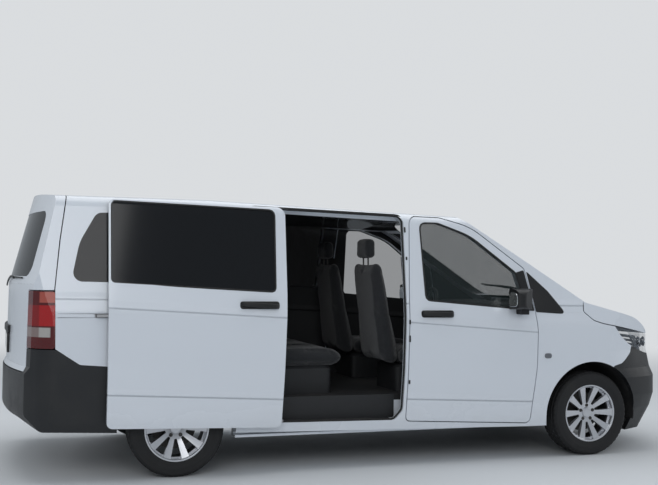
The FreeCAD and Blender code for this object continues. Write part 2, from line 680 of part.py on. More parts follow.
FLOOR = mm("floor_top")
FLOOR_LOW = FLOOR - mm("floor_thickness")
FLOOR_HALF = mm("floor_half_width")
floor_x = (TAIL_X + 215, FRONT_AXLE - 480)
rail_y = (430, 500)
tower_x = 60
floor = box("floor_plate", floor_x, (-FLOOR_HALF, FLOOR_HALF), (FLOOR_LOW, FLOOR))
pieces = [floor]
cuts = []
for tag, side in (("right", -1), ("left", 1)):
    pieces.append(box("rail_" + tag, (TAIL_X + 145, NOSE_X - 150), sorted((side * rail_y[0], side * rail_y[1])),
                      (FLOOR_LOW - 80, FLOOR_LOW)))
    pieces.append(box("tower_leg_" + tag, (FRONT_AXLE - tower_x, FRONT_AXLE + tower_x),
                      sorted((side * rail_y[0], side * rail_y[1])), (FLOOR_LOW, 950)))
    pieces.append(box("tower_top_" + tag, (FRONT_AXLE - tower_x, FRONT_AXLE + tower_x),
                      sorted((side * rail_y[0], side * 660)), (950, 975)))
    inner_y = mm("rear_track") / 2 - mm("tyre_width") / 2 - 30
    y_pair = (side * inner_y, side * (FLOOR_HALF))
    house = cylinder("house_" + tag, mm("arch_radius"), (REAR_AXLE, y_pair[0], AXLE_Z),
                     (REAR_AXLE, y_pair[1], AXLE_Z), "arch_radius")
    hollow = cylinder("house_hollow_" + tag, mm("arch_radius") - SKIN, (REAR_AXLE, y_pair[0] + side * SKIN, AXLE_Z),
                      (REAR_AXLE, y_pair[1] + side * 200, AXLE_Z))
    pieces.append(house)
    cuts.append(hollow)
    liner = mm("arch_radius") + 3
    wall = side * (rail_y[1] - 1)
    pieces.append(cylinder("front_house_" + tag, liner + 5, (FRONT_AXLE, wall, AXLE_Z),
                           (FRONT_AXLE, side * (HALF - 61), AXLE_Z)))
    cuts.append(cylinder("front_hollow_" + tag, liner, (FRONT_AXLE, wall + side * 4, AXLE_Z),
                         (FRONT_AXLE, side * (HALF + 100), AXLE_Z)))
    cuts.append(cylinder("strut_hole_" + tag, 44, (FRONT_AXLE, side * strut_y(640), 640),
                         (FRONT_AXLE, side * strut_y(800), 800)))
    cuts.append(box("front_trim_" + tag, (FRONT_AXLE - 450, FRONT_AXLE + 450),
                    sorted((side * (rail_y[1] - 1), side * (HALF + 50))), (-500, 262)))
rails_kept = fuse("floor_all", *pieces)
node("floor_pan", cut("floor_with_houses", rails_kept, *cuts,
                      box("trim_right", (REAR_AXLE - 500, REAR_AXLE + 500), (-HALF - 50, -rail_y[1]), (-500, FLOOR_LOW)),
                      box("trim_left", (REAR_AXLE - 500, REAR_AXLE + 500), (rail_y[1], HALF + 50), (-500, FLOOR_LOW))))

# Bulkhead between cabin and engine, with the scuttle under the windscreen

BULKHEAD = at_front([
    (-480 + SEAM, FLOOR_LOW, 0), (-440, FLOOR_LOW, 0), (-440, 770, 60), (-60, 1010, 60), (60, 1128, 0),
    (-12, 1128, 0), (-90, 1050, 60), (-480 + SEAM, 790, 60),
])
bulk_half = HALF - 192
corner_room = [box("scuttle_corner_" + tag, (FRONT_AXLE - 150, FRONT_AXLE + 100),
                   sorted((side * (mm("roof_half_width") - SEAM), side * HALF)), (1040, 1200))
               for tag, side in (("right", -1), ("left", 1))]
node("bulkhead", cut("bulkhead_wall", across("bulkhead_profile", BULKHEAD, -bulk_half, bulk_half), *corner_room))

# Dashboard and steering wheel

DASH = at_front([
    (-560, 880, 60), (-600, 1060, 60), (-520, 1140, 60), (-200, 1150, 40), (-130, 1090, 20), (-430, 880, 40),
])
dash_half = HALF - 191 - SEAM
dash = across("dash_profile", DASH, -dash_half, dash_half)
WHEEL_TILT = 28
hub = Vector(FRONT_AXLE - 790, 460, 1075)
wheel_axis = Vector(math.cos(math.radians(WHEEL_TILT)), 0, -math.sin(math.radians(WHEEL_TILT)))
column_end = hub + wheel_axis * 260
column_start = hub + wheel_axis * (30 + SEAM)
column = cylinder("column", 28, tuple(column_start), tuple(column_end))
node("dashboard", fuse("dash_with_column", dash, column))

grip = doc.addObject("Part::Torus", "grip")
grip.setExpression("Radius1", "Sizes.steering_wheel_radius")
grip.setExpression("Radius2", "Sizes.grip_radius")
boss = cylinder("wheel_boss", 60, (0, 0, -10), (0, 0, 30))
spokes = [box("wheel_spoke_1", (-15, 15), (-mm("steering_wheel_radius"), 0), (-8, 8)),
          box("wheel_spoke_2", (-mm("steering_wheel_radius"), mm("steering_wheel_radius")), (-15, 15), (-8, 8))]
steering_wheel = fuse("steering_wheel_flat", grip, boss, *spokes)
steering_wheel.Placement = Placement(hub, Rotation(Vector(0, 0, 1), wheel_axis))
node("steering_wheel", steering_wheel)

# Seats

SEAT_H = FLOOR + mm("seat_height")
CUSHION = mm("cushion_thickness")
DEPTH = mm("seat_depth")


def seat(name, x, y, width):
    """Cushion on a base with a raked backrest and head restraints; x is where the cushion meets the back."""
    top = SEAT_H + mm("back_height")
    rake = 130
    side_view = [
        (x + DEPTH, SEAT_H, 50), (x + 20, SEAT_H - 20, 30), (x - rake, top, 50), (x - rake - CUSHION + 20, top - 20, 40),
        (x - CUSHION - 20, SEAT_H - CUSHION, 50), (x + DEPTH, SEAT_H - CUSHION, 50),
    ]
    body = prism(name + "_padding", "side", side_view, y - width / 2, y + width / 2)
    base = box(name + "_base", (x, x + DEPTH - 60), (y - width / 2 + 40, y + width / 2 - 40),
               (FLOOR + SEAM, SEAT_H - CUSHION))
    places = max(1, round(width / mm("seat_width")))
    heads = []
    for i in range(places):
        centre = y + (i - (places - 1) / 2) * width / places
        head = box("%s_head_%d" % (name, i), (x - rake - 110, x - rake - 20), (centre - 125, centre + 125),
                   (top + 40, top + 190))
        stem = box("%s_stem_%d" % (name, i), (x - rake - 75, x - rake - 60), (centre - 60, centre + 60),
                   (top - 40, top + 60))
        heads.extend([head, stem])
    return fuse(name, body, base, *heads)


FRONT_SEAT_X = FRONT_AXLE - 1505
seat_w = mm("seat_width")
node("driver_seat", seat("driver", FRONT_SEAT_X, 480, seat_w))
node("passenger_seat", seat("passenger", FRONT_SEAT_X, -480, seat_w))
node("second_row", seat("row_two", FRONT_SEAT_X - 950, 0, 3 * seat_w - 100))
node("third_row", seat("row_three", FRONT_SEAT_X - 1880, 0, 2.4 * seat_w))

# Engine, tank, exhaust

engine_x = FRONT_AXLE + 230
node("engine_block", box("engine", (engine_x - mm("engine_length") / 2, engine_x + mm("engine_length") / 2),
                         (-mm("engine_width") / 2, mm("engine_width") / 2), (300, 300 + mm("engine_height"))))
node("fuel_tank", box("tank", (REAR_AXLE + 700, REAR_AXLE + 700 + mm("tank_length")), (-120, 400),
                      (FLOOR_LOW - 190, FLOOR_LOW - SEAM)))
pipe_y = -280
pipe_z = FLOOR_LOW - 50
pipe = cylinder("pipe", mm("exhaust_radius"), (FRONT_AXLE - 100, pipe_y, pipe_z), (TAIL_X + 180, pipe_y, pipe_z),
                "exhaust_radius")
muffler = cylinder("muffler", 90, (REAR_AXLE + 250, pipe_y, FLOOR_LOW - 95), (REAR_AXLE + 650, pipe_y, FLOOR_LOW - 95))
hangers = [box("exhaust_hanger_%d" % i, (x - 8, x + 8), (pipe_y - 15, pipe_y + 15), (pipe_z, FLOOR_LOW - SEAM))
           for i, x in enumerate((FRONT_AXLE - 600, FRONT_AXLE - 1900, REAR_AXLE - 500))]
node("exhaust", fuse("exhaust_line", pipe, muffler, *hangers))

# Axles: front subframe with lower arms, knuckles on inclined steering axes, rear beam

node_parts = [box("crossmember", (FRONT_AXLE - 90, FRONT_AXLE + 90), (-470, 470), (225, 285))]
for tag, side in (("right", -1), ("left", 1)):
    node_parts.append(box("arm_" + tag, (FRONT_AXLE - 40, FRONT_AXLE + 40),
                          sorted((side * 400, side * (ball[0] - 38.5))), (228, 252)))
    node_parts.append(box("rail_mount_" + tag, (FRONT_AXLE - 60, FRONT_AXLE + 60), sorted((side * 400, side * 470)),
                          (285, FLOOR_LOW - 80 - SEAM)))
node_parts.append(box("engine_cradle", (FRONT_AXLE - 90, FRONT_AXLE + 600), (-200, 200), (255, 299.7)))
node("front_subframe", fuse("subframe", *node_parts))


def knuckle(right):
    """Upright with the strut along the steering axis, the hub spindle and the brake disc."""
    tag = "right_" if right else "left_"
    side = -1 if right else 1
    low = (FRONT_AXLE, side * ball[0], ball[1])
    high = (FRONT_AXLE, side * mount[0], mount[1] - 6)
    strut = cylinder(tag + "strut", 26, low, high)
    spindle = cylinder(tag + "spindle", mm("hub_radius"), (FRONT_AXLE, side * (FRONT_HALF - 130), AXLE_Z),
                       (FRONT_AXLE, side * (FRONT_HALF + 20), AXLE_Z), "hub_radius")
    disc = cylinder(tag + "disc", mm("disc_radius"), (FRONT_AXLE, side * (FRONT_HALF - 60), AXLE_Z),
                    (FRONT_AXLE, side * (FRONT_HALF - 36), AXLE_Z), "disc_radius")
    return fuse(tag + "knuckle", strut, spindle, disc)


node("knuckle_right", knuckle(True))
node("knuckle_left", knuckle(False))
beam = cylinder("beam", 45, (REAR_AXLE, -REAR_HALF + 60, AXLE_Z), (REAR_AXLE, REAR_HALF - 60, AXLE_Z))
rear_parts = [beam]
for tag, side in (("right", -1), ("left", 1)):
    rear_parts.append(cylinder("rear_spindle_" + tag, mm("hub_radius"), (REAR_AXLE, side * (REAR_HALF - 80), AXLE_Z),
                               (REAR_AXLE, side * (REAR_HALF + 20), AXLE_Z), "hub_radius"))
    rear_parts.append(cylinder("rear_disc_" + tag, mm("disc_radius"), (REAR_AXLE, side * (REAR_HALF - 60), AXLE_Z),
                               (REAR_AXLE, side * (REAR_HALF - 36), AXLE_Z), "disc_radius"))
    rear_parts.append(box("trailing_arm_" + tag, (REAR_AXLE - 30, REAR_AXLE + 480), sorted((side * 520, side * 580)),
                          (AXLE_Z - 30, AXLE_Z + 30)))
    rear_parts.append(box("arm_mount_" + tag, (REAR_AXLE + 420, REAR_AXLE + 480), sorted((side * 520, side * 580)),
                          (AXLE_Z + 30, FLOOR_LOW - SEAM)))
node("rear_axle", fuse("rear_beam", *rear_parts))

# Wheels, drawn once about the Y axis with the outside towards +Y

TYRE_R = mm("tyre_radius")
RIM_R = mm("rim_radius")
TYRE_W = mm("tyre_width")
RIM_W = mm("rim_width")
bead = RIM_W / 2 - 5.5
tyre_half = [(RIM_R - 8 + SEAM, bead - 8.5, 0), (RIM_R + SEAM, bead, 0), (RIM_R + 20, TYRE_W / 2 - 4, 30),
             (TYRE_R - 30, TYRE_W / 2, 40), (TYRE_R, TYRE_W / 2 - 22, 20)]
tyre_profile = tyre_half + [(radius, -y, corner) for (radius, y, corner) in reversed(tyre_half)]


def turned(name, profile):
    """Profile of (radius, across) turned about the Y axis."""
    drawn = doc.addObject("Sketcher::SketchObject", name + "_profile")
    drawn.addGeometry(rounded_edges(profile), False)
    solid = doc.addObject("Part::Revolution", name)
    solid.Source = drawn
    solid.Axis = Vector(0, 1, 0)
    solid.Angle = 360
    solid.Solid = True
    return solid


tyre = turned("tyre", tyre_profile)
EDGE = RIM_W / 2
# Columns: radius, across towards the outside, corner radius; the blank cap closes the hub in front
rim_profile = [
    (RIM_R - 16, -EDGE, 0), (RIM_R, -EDGE, 0), (RIM_R, -EDGE + 5.7, 0), (RIM_R - 8, -EDGE + 12, 4),
    (RIM_R - 8, EDGE - 12, 4), (RIM_R, EDGE - 5.7, 0), (RIM_R, EDGE, 0), (RIM_R - 9, EDGE, 4),
    (RIM_R - 14, EDGE - 8, 4), (78, EDGE - 46, 12), (40, EDGE - 50, 0), (36, EDGE - 42, 4), (0, EDGE - 40, 0),
    (0, 21, 0), (34.3, 21, 0), (34.3, EDGE - 85, 0), (78, EDGE - 85, 10), (RIM_R - 24, EDGE - 45, 10),
]
rim_plain = turned("rim_plain", rim_profile)
SPOKES = 10
# Columns: radius where it starts, half width there, radius where it ends, half width there, from across
WINDOW_STEPS = [(72, 8, RIM_R - 25, 37, -100), (RIM_R - 60, 28, RIM_R - 14, 39, EDGE - 45.5)]
windows = []
for near, near_half, far, far_half, start in WINDOW_STEPS:
    ring = []
    for i in range(SPOKES):
        corners = [(near, near_half, 5), (far, far_half, 10), (far, -far_half, 10), (near, -near_half, 5)]
        window = prism("rim_window_%d_%d" % (near, i), "side", corners, start, 100)
        window.Placement = Placement(Vector(0, 0, 0), Rotation(Vector(0, 1, 0), 360.0 * i / SPOKES + 18))
        ring.append(window)
    windows.append(group("rim_windows_%d" % near, *ring))
holes = []
for i in range(5):
    turn = math.radians(72 * i)
    radius = mm("bolt_circle") / 2
    holes.append(cylinder("bolt_hole_%d" % i, mm("bolt_hole_radius"),
                          (radius * math.sin(turn), -100, radius * math.cos(turn)),
                          (radius * math.sin(turn), 100, radius * math.cos(turn)), "bolt_hole_radius"))
rim = cut("rim", rim_plain, *windows, group("bolt_holes", *holes))
for tag, x, y in (("front_right", FRONT_AXLE, -FRONT_HALF), ("front_left", FRONT_AXLE, FRONT_HALF),
                  ("rear_right", REAR_AXLE, -REAR_HALF), ("rear_left", REAR_AXLE, REAR_HALF)):
    place = Placement(Vector(x, y, AXLE_Z), Rotation(Vector(0, 0, 1), 0 if y > 0 else 180))
    node("tyre_" + tag, moved("tyre_at_" + tag, tyre, place))
    node("rim_" + tag, moved("rim_at_" + tag, rim, place))

# Check every object, then write one file for each node

doc.recompute()
for item in doc.Objects:
    if "Invalid" in item.State or "Error" in item.State:
        raise RuntimeError("%s could not be built: %s" % (item.Name, item.State))
os.makedirs("parts", exist_ok=True)
for item in NODES:
    shape = item.Shape
    if shape.isNull() or not shape.isValid():
        raise RuntimeError("%s has no valid shape" % item.Label)
    shape.exportStep("parts/%s.step" % item.Label)
    print("%-22s %d solids, %8.2f litres" % (item.Label, len(shape.Solids), shape.Volume / 1e6))
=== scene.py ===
# %% [markdown]
# # A long white minibus
# The body, doors, glass, wheels and axles come ready-made at their real size. This lesson adds what the eye
# looks for next: paint with depth, dark glass, moulded plastic, tread, lamps, seats and small fittings.
# Every shape could be drawn by hand, but here it is an array of points worked out at once, and every finish
# is a small formula, because a number in a formula is easy to read, to change and to use again.

# %% Load the frame
import math

import bmesh
import bpy
import numpy as np
from mathutils import Matrix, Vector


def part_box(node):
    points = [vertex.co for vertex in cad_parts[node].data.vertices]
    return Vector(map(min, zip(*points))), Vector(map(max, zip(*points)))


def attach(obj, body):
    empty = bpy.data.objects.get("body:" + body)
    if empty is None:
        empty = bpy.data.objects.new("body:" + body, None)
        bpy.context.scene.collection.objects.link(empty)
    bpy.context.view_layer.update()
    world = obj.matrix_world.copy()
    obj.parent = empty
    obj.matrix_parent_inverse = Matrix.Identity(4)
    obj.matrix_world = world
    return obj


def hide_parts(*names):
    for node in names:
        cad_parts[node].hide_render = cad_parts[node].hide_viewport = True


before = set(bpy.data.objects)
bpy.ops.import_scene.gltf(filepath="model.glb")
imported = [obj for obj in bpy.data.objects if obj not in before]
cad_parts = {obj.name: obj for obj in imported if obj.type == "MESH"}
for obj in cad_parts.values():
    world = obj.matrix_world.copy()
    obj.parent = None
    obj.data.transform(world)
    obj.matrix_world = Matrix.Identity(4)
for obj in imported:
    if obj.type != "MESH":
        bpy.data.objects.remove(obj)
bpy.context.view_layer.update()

print("frame holds", len(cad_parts), "nodes")

# %% [markdown]
# ## Places read from the frame
# A fitting sits on the real body. Its place could be typed in, but reading it from the boxes of the tyres
# and bumpers keeps it right.

# %% Driving places
def middle(node):
    """Centre of a node's box, in metres."""
    low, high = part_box(node)
    return (np.array(low) + np.array(high)) / 2


FRONT_X = float(middle("tyre_front_right")[0])
REAR_X = float(middle("tyre_rear_right")[0])
NOSE_X = float(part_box("front_bumper")[1][0])
TAIL_X = float(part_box("rear_bumper")[0][0])
HALF = 0.966                          # half the body's greatest width
DOOR_OUT, DOOR_BACK = 0.075, 0.945    # how far the open sliding door stands out and back
RIGHT, LEFT = -1.0, 1.0
HANDS = ((RIGHT, "right"), (LEFT, "left"))
UP = (0, 0, 1)
print("axles at", round(FRONT_X, 3), round(REAR_X, 3), "and nose at", round(NOSE_X, 3))

# %% [markdown]
# ## The body's outer surface as a formula
# Handles and seals follow the curved side, which leans in above the shoulder, tucks in below it and falls
# slightly towards the nose. A table of points would do, but a soft minimum of straight lines says it in a
# few numbers.

# %% Body side, nose and tail surfaces
FALL = math.tan(math.radians(1.83))   # slope of the section towards the nose
FALL_START = REAR_X + 0.225
SHOULDER = 1.100
NOSE_AXIS, TAIL_AXIS = FRONT_X - 2.675, REAR_X + 1.795


def soft_min(values, softness=0.002):
    """Smooth minimum over the first axis: minus softness times the log of the summed exponentials."""
    lowest = values.min(axis=0)
    return lowest - softness * np.log(np.exp((lowest - values) / softness).sum(axis=0))


def line_through(z, a, b):
    """Across-value at height z on the straight line through a and b, each (across, height)."""
    return a[0] + (z - a[1]) * (b[0] - a[0]) / (b[1] - a[1])


def side_y(x, z):
    """Distance of the body side from the centre plane: the least of the section's and the plan's lines."""
    x, z = np.broadcast_arrays(x, z)
    level = z + FALL * np.clip(x - FALL_START, 0, None)
    lines = [
        line_through(level, (HALF - 0.155, 1.866), (HALF - 0.013, SHOULDER)),
        line_through(level, (HALF - 0.013, SHOULDER), (HALF, SHOULDER - 0.380)),
        line_through(level, (HALF, SHOULDER - 0.380), (HALF - 0.020, 0.380)),
        line_through(x, (HALF, FRONT_X + 0.315), (HALF - 0.166, FRONT_X + 0.640)),
        line_through(x, (HALF, REAR_X - 0.845), (HALF - 0.176, REAR_X - 1.025)),
    ]
    return soft_min(np.array(lines))


def nose_x(y, z):
    """Front surface: an outline turned about the upright nose axis.

    Bonnet and screen meet in a hollow, so the larger counts there; elsewhere the least line counts."""
    y, z = np.broadcast_arrays(y, z)
    bonnet = line_through(z, (FRONT_X + 0.729, 1.009), (FRONT_X + 0.110, 1.172))
    screen = line_through(z, (FRONT_X + 0.110, 1.172), (FRONT_X - 0.934, 1.840))
    outline = [
        np.maximum(bonnet, screen),
        line_through(z, (FRONT_X + 0.808, 0.715), (FRONT_X + 0.729, 1.009)),
        line_through(z, (NOSE_X, 0.600), (FRONT_X + 0.808, 0.715)),
        np.full_like(z, NOSE_X),
        line_through(z, (NOSE_X, 0.420), (NOSE_X - 0.190, 0.150)),
    ]
    reach = soft_min(np.array(outline), 0.006) - NOSE_AXIS
    return NOSE_AXIS + np.sqrt(np.clip(reach ** 2 - y ** 2, 0, None))


def tail_x(y, z):
    """Rear surface: the upright tail outline turned about the upright tail axis."""
    y, z = np.broadcast_arrays(y, z)
    outline = [
        -line_through(z, (REAR_X - 0.905, 1.935), (REAR_X - 1.075, 1.280)),
        -line_through(z, (REAR_X - 1.075, 1.280), (TAIL_X + 0.022, 0.745)),
        np.full_like(z, -TAIL_X),
    ]
    reach = soft_min(np.array(outline), 0.004) + TAIL_AXIS
    return TAIL_AXIS - np.sqrt(np.clip(reach ** 2 - y ** 2, 0, None))


print("body side at the shoulder:", round(float(side_y(0.0, SHOULDER)), 4))

# %% [markdown]
# ## From arrays to meshes
# A grid of points is the plainest surface: each square of four neighbours is a face, and rolled up it is a
# tube or a ring. Ready-made primitives could be bent into shape, but a grid keeps its faces even and its
# formula in sight.

# %% Grids and pieces
PIECES = []
MERGE = 1e-5


def grid(points, wrap_rows=False, wrap_columns=False):
    """A surface: its points in one list, and its squares as an (n, 4) array of point numbers."""
    points = np.asarray(points, float)
    rows, columns = points.shape[:2]
    i = np.arange(rows if wrap_rows else rows - 1)
    j = np.arange(columns if wrap_columns else columns - 1)
    i, j = (numbers.ravel() for numbers in np.meshgrid(i, j, indexing="ij"))
    here, below, beside = i * columns, (i + 1) % rows * columns, (j + 1) % columns
    return points.reshape(-1, 3), np.stack([here + j, below + j, below + beside, here + beside], 1)


def joined(surfaces):
    """Several surfaces (points, squares, caps) as one: each one's numbers shift by the points before it."""
    points = np.concatenate([own for own, *rest in surfaces])
    shifts = np.cumsum([0] + [len(own) for own, *rest in surfaces[:-1]])
    faces = []
    for (own, squares, *caps), shift in zip(surfaces, shifts):
        faces += (squares + shift).tolist() + [(cap + shift).tolist() for cap in caps]
    return points, faces


def shown(thing):
    """Put an object into the scene."""
    bpy.context.scene.collection.objects.link(thing)
    return thing


def new_object(name, points, faces):
    """Mesh object from an array of points and a list of faces."""
    mesh = bpy.data.meshes.new(name)
    mesh.from_pydata(points.tolist(), [], faces)
    return shown(bpy.data.objects.new(name, mesh))


def outward(mesh):
    """Merge doubles and turn every closed shell's faces outwards."""
    work = bmesh.new()
    work.from_mesh(mesh)
    bmesh.ops.remove_doubles(work, verts=work.verts, dist=MERGE)
    bmesh.ops.recalc_face_normals(work, faces=work.faces)
    work.to_mesh(mesh)
    work.free()
    mesh.update()


def piece(name, body, slot, material, *surfaces, crease_angle=35, replaces=()):
    """A finished object from surfaces: doubles merged, normals outwards, riding on a body."""
    made = new_object(name, *joined(surfaces))
    outward(made.data)
    made.data.materials.append(material)
    made.data.shade_smooth()
    made.data.set_sharp_from_angle(angle=math.radians(crease_angle))
    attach(made, body)
    if replaces:
        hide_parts(*replaces)
    PIECES.append(made)
    return made


print("surfaces become pieces, with points closer than", MERGE, "m merged")

# %% [markdown]
# ## Profiles and paths
# A bar, strap or seal has one small section all along. A bevelled curve could do it, but carrying the
# section along the path as an array settles which way it stands.

# %% Profiles and sweeps
def turns(count):
    """Angles evenly spread round one full turn."""
    return np.linspace(0, 2 * np.pi, count, endpoint=False)


def ring(radius, sides):
    """Round profile: radius times cosine and sine of the turn."""
    return radius * np.stack([np.cos(turns(sides)), np.sin(turns(sides))], 1)


def rounded_bar(width, height, corner, steps=4):
    """Rectangle profile (side, up): one quarter circle, turned by quarters, set at each corner."""
    turn = np.linspace(0, np.pi / 2, steps + 1)
    arc = np.stack([np.cos(turn), np.sin(turn)], 1) * corner
    u, v = width / 2 - corner, height / 2 - corner
    quarters = [((u, v), 1, 0), ((-u, v), 0, 1), ((-u, -v), -1, 0), ((u, -v), 0, -1)]
    return np.concatenate([place + arc[:, :1] * (c, s) + arc[:, 1:] * (-s, c) for place, c, s in quarters])


def swept(path, profile, up, closed=False):
    """Each point is the path's, plus the profile's two values along the side and rise directions there.

    The tangent comes from differences of the path, and open ends are capped."""
    path, profile = np.asarray(path, float), np.asarray(profile, float)
    if closed:
        tangent = np.roll(path, -1, axis=0) - np.roll(path, 1, axis=0)
    else:
        tangent = np.gradient(path, axis=0)
    tangent /= np.linalg.norm(tangent, axis=1, keepdims=True)
    side = np.cross(tangent, np.broadcast_to(np.asarray(up, float), path.shape))
    side /= np.linalg.norm(side, axis=1, keepdims=True)
    rise = np.cross(side, tangent)
    carried = path[:, None] + profile[:, :1] * side[:, None] + profile[:, 1:] * rise[:, None]
    points, squares = grid(carried, closed, True)
    if closed:
        return points, squares
    first = np.arange(len(profile))
    return points, squares, first, first + len(points) - len(profile)


print("a bar's profile has", len(rounded_bar(0.02, 0.01, 0.002)), "points")

# %% [markdown]
# ## Outlines laid on the body
# A pane or plate is named by its corners and how round each is. It could be cut from the panel, but a flat
# loop that takes its distance outwards from the body's formula is simpler and still follows the panel.

# %% Outlines
ARC_POINTS, FEWEST = 9, 12


def rectangle(u0, v0, u1, v1, corner):
    """Corners of an upright rectangle, all of one radius."""
    return [(u0, v0, corner), (u1, v0, corner), (u1, v1, corner), (u0, v1, corner)]


def arc_loop(corners, step=0.01):
    """Closed loop of evenly spread points through corners (u, v, radius).

    Each corner is the quadratic curve that starts and ends where a circle of that radius would touch."""
    corners = np.asarray(corners, float)
    places, radii = corners[:, :2], corners[:, 2]
    before, after = np.roll(places, 1, axis=0), np.roll(places, -1, axis=0)
    into = (places - before) / np.linalg.norm(places - before, axis=1, keepdims=True)
    out = (after - places) / np.linalg.norm(after - places, axis=1, keepdims=True)
    turn = np.arctan2(into[:, 0] * out[:, 1] - into[:, 1] * out[:, 0], (into * out).sum(axis=1))
    back = radii * np.tan(np.abs(turn) / 2)
    blend = np.linspace(0, 1, ARC_POINTS)[None, :, None]
    start, end = places - into * back[:, None], places + out * back[:, None]
    rounded = ((1 - blend) ** 2 * start[:, None] + 2 * blend * (1 - blend) * places[:, None]
               + blend ** 2 * end[:, None]).reshape(-1, 2)
    rounded = rounded[np.linalg.norm(rounded - np.roll(rounded, 1, axis=0), axis=1) > MERGE]
    closed = np.vstack([rounded, rounded[:1]])
    run = np.concatenate([[0], np.cumsum(np.linalg.norm(np.diff(closed, axis=0), axis=1))])
    along = np.linspace(0, run[-1], max(int(run[-1] / step), FEWEST), endpoint=False)
    return np.stack([np.interp(along, run, closed[:, 0]), np.interp(along, run, closed[:, 1])], 1)


def on_side(loop, side, out=0.0, shift=(0.0, 0.0)):
    """Lay a loop of (along, up) on the body side, out metres proud; shift moves it (along, outboard)."""
    x, z = loop[:, 0], loop[:, 1]
    y = side_y(x, z) + out + shift[1]
    return np.stack([x + shift[0], side * y, z], 1)


def laid(surface, y, z, ahead):
    """Points at (y, z) on the nose or tail surface, moved ahead by some metres."""
    x = surface(y, z)
    return np.stack([x + ahead, np.broadcast_to(y, x.shape), np.broadcast_to(z, x.shape)], -1)


print("each corner is rounded by", ARC_POINTS, "points")

# %% [markdown]
# ## Finishes as formulas
# A finish is a shader with a few varying values. Nodes could be placed and linked one by one, but a small
# class round each socket lets the maths be written as plain expressions.

# %% Shader maths
class Wire:
    """A socket in a shader that adds, subtracts and multiplies like a number."""

    def __init__(self, finish, socket):
        self.finish, self.socket = finish, socket

    def apply(self, operation, *others):
        return self.finish.node("ShaderNodeMath", {"operation": operation}, [self, *others])

    def __add__(self, other):
        return self.apply("ADD", other)

    def __mul__(self, other):
        return self.apply("MULTIPLY", other)

    def __sub__(self, other):
        return self.apply("SUBTRACT", other)

    def __rsub__(self, other):
        return self.finish.node("ShaderNodeMath", {"operation": "SUBTRACT"}, [other, self])

    __radd__, __rmul__ = __add__, __mul__

    def ramp(self, low, high):
        """0 below low, 1 above high, smooth between."""
        return self.finish.node("ShaderNodeMapRange", {"interpolation_type": "SMOOTHSTEP"}, [self, low, high])


class Finish:
    """A material with one Principled shader whose varying sockets take wires."""

    def __init__(self, name, colour, roughness, **constants):
        self.material = bpy.data.materials.new(name)
        self.material.use_nodes = True
        self.tree = self.material.node_tree
        self.shader = self.tree.nodes["Principled BSDF"]
        self.shader.inputs["Base Color"].default_value = (*colour, 1.0)
        self.shader.inputs["Roughness"].default_value = roughness
        for socket, value in constants.items():
            self.shader.inputs[socket.replace("_", " ")].default_value = value

    def node(self, kind, settings=(), inputs=(), output=0):
        """Any node: its type, its settings, then the values or links of its sockets."""
        made = self.tree.nodes.new(kind)
        for key, value in dict(settings).items():
            setattr(made, key, value)
        pairs = inputs.items() if isinstance(inputs, dict) else enumerate(inputs)
        for key, value in pairs:
            if isinstance(value, Wire):
                self.tree.links.new(value.socket, made.inputs[key])
            else:
                made.inputs[key].default_value = value
        return Wire(self, made.outputs[output])

    def split(self, output):
        """One output of Texture Coordinate as three wires."""
        parts = self.node("ShaderNodeSeparateXYZ", inputs=[self.node("ShaderNodeTexCoord", output=output)])
        return [Wire(self, socket) for socket in parts.socket.node.outputs]

    def place(self):
        """Object coordinates."""
        return self.split("Object")

    def facing(self):
        """Surface direction in the piece's own axes."""
        return self.split("Normal")

    def noise(self, scale, detail=3.0):
        """Cloudy pattern fixed to the piece."""
        where = self.node("ShaderNodeTexCoord", output="Object")
        return self.node("ShaderNodeTexNoise", inputs={"Vector": where, "Scale": scale, "Detail": detail})

    def mix(self, factor, first, second):
        """Colour that goes from the first to the second as the factor goes from 0 to 1."""
        ends = {key: (*end, 1.0) if isinstance(end, tuple) else end for key, end in ((6, first), (7, second))}
        return self.node("ShaderNodeMix", {"data_type": "RGBA"}, {0: factor, **ends}, output=2)

    def paint(self, wire):
        self.tree.links.new(wire.socket, self.shader.inputs["Base Color"])

    def rough(self, wire):
        self.tree.links.new(wire.socket, self.shader.inputs["Roughness"])

    def relief(self, height, strength, distance):
        values = {"Strength": strength, "Distance": distance, "Height": height}
        bump = self.node("ShaderNodeBump", inputs=values)
        self.tree.links.new(bump.socket, self.shader.inputs["Normal"])


print("shader maths ready")

# %% [markdown]
# ## Paint
# Body paint is white pigment under a clear coat, with a very fine ripple and a road film that greys it
# towards the sills; its cool blue-grey tint is partly painted shade. Inside, the same panels wear dark trim.
# Faces could be given a second material, but the surface's own direction already tells outside from inside.

# %% White body paint
# the body colour is white with a cool blue-grey tint that is partly painted shade
SHADE_TINTED_WHITE, ROAD_FILM, DARK_TRIM = (0.74, 0.78, 0.84), (0.62, 0.62, 0.61), (0.016, 0.017, 0.019)


def body_paint(name, inward=None, creases=()):
    """Clear-coated white; inward (axis number, sign) names the direction that wears dark cabin trim.

    Each crease is a line (x, z) to (x, z): the height steps down just below it, in relief."""
    finish = Finish(name, SHADE_TINTED_WHITE, 0.28, Coat_Weight=0.6, Coat_Roughness=0.06)
    x, _, z = finish.place()
    film = (1 - z.ramp(0.25, 0.60)) * finish.noise(3.5, 4.0).ramp(0.2, 0.9)
    colour, rough = finish.mix(film * 0.22, SHADE_TINTED_WHITE, ROAD_FILM), film * 0.08 + 0.26
    if inward:
        axis, sign = inward
        towards_cabin = (finish.facing()[axis] * sign).ramp(0.45, 0.55)
        colour, rough = finish.mix(towards_cabin, colour, DARK_TRIM), towards_cabin * 0.45 + rough
    finish.paint(colour)
    finish.rough(rough)
    height = finish.noise(420.0, 1.0) * 0.002
    for (x1, z1), (x2, z2) in creases:
        slope = (z2 - z1) / (x2 - x1)
        above = z - x * slope - (z1 - slope * x1)
        height = height + above.ramp(-0.012, 0.004) - above.ramp(0.004, 0.05) * 0.6
    finish.relief(height, 1.0, 0.012)
    return finish.material


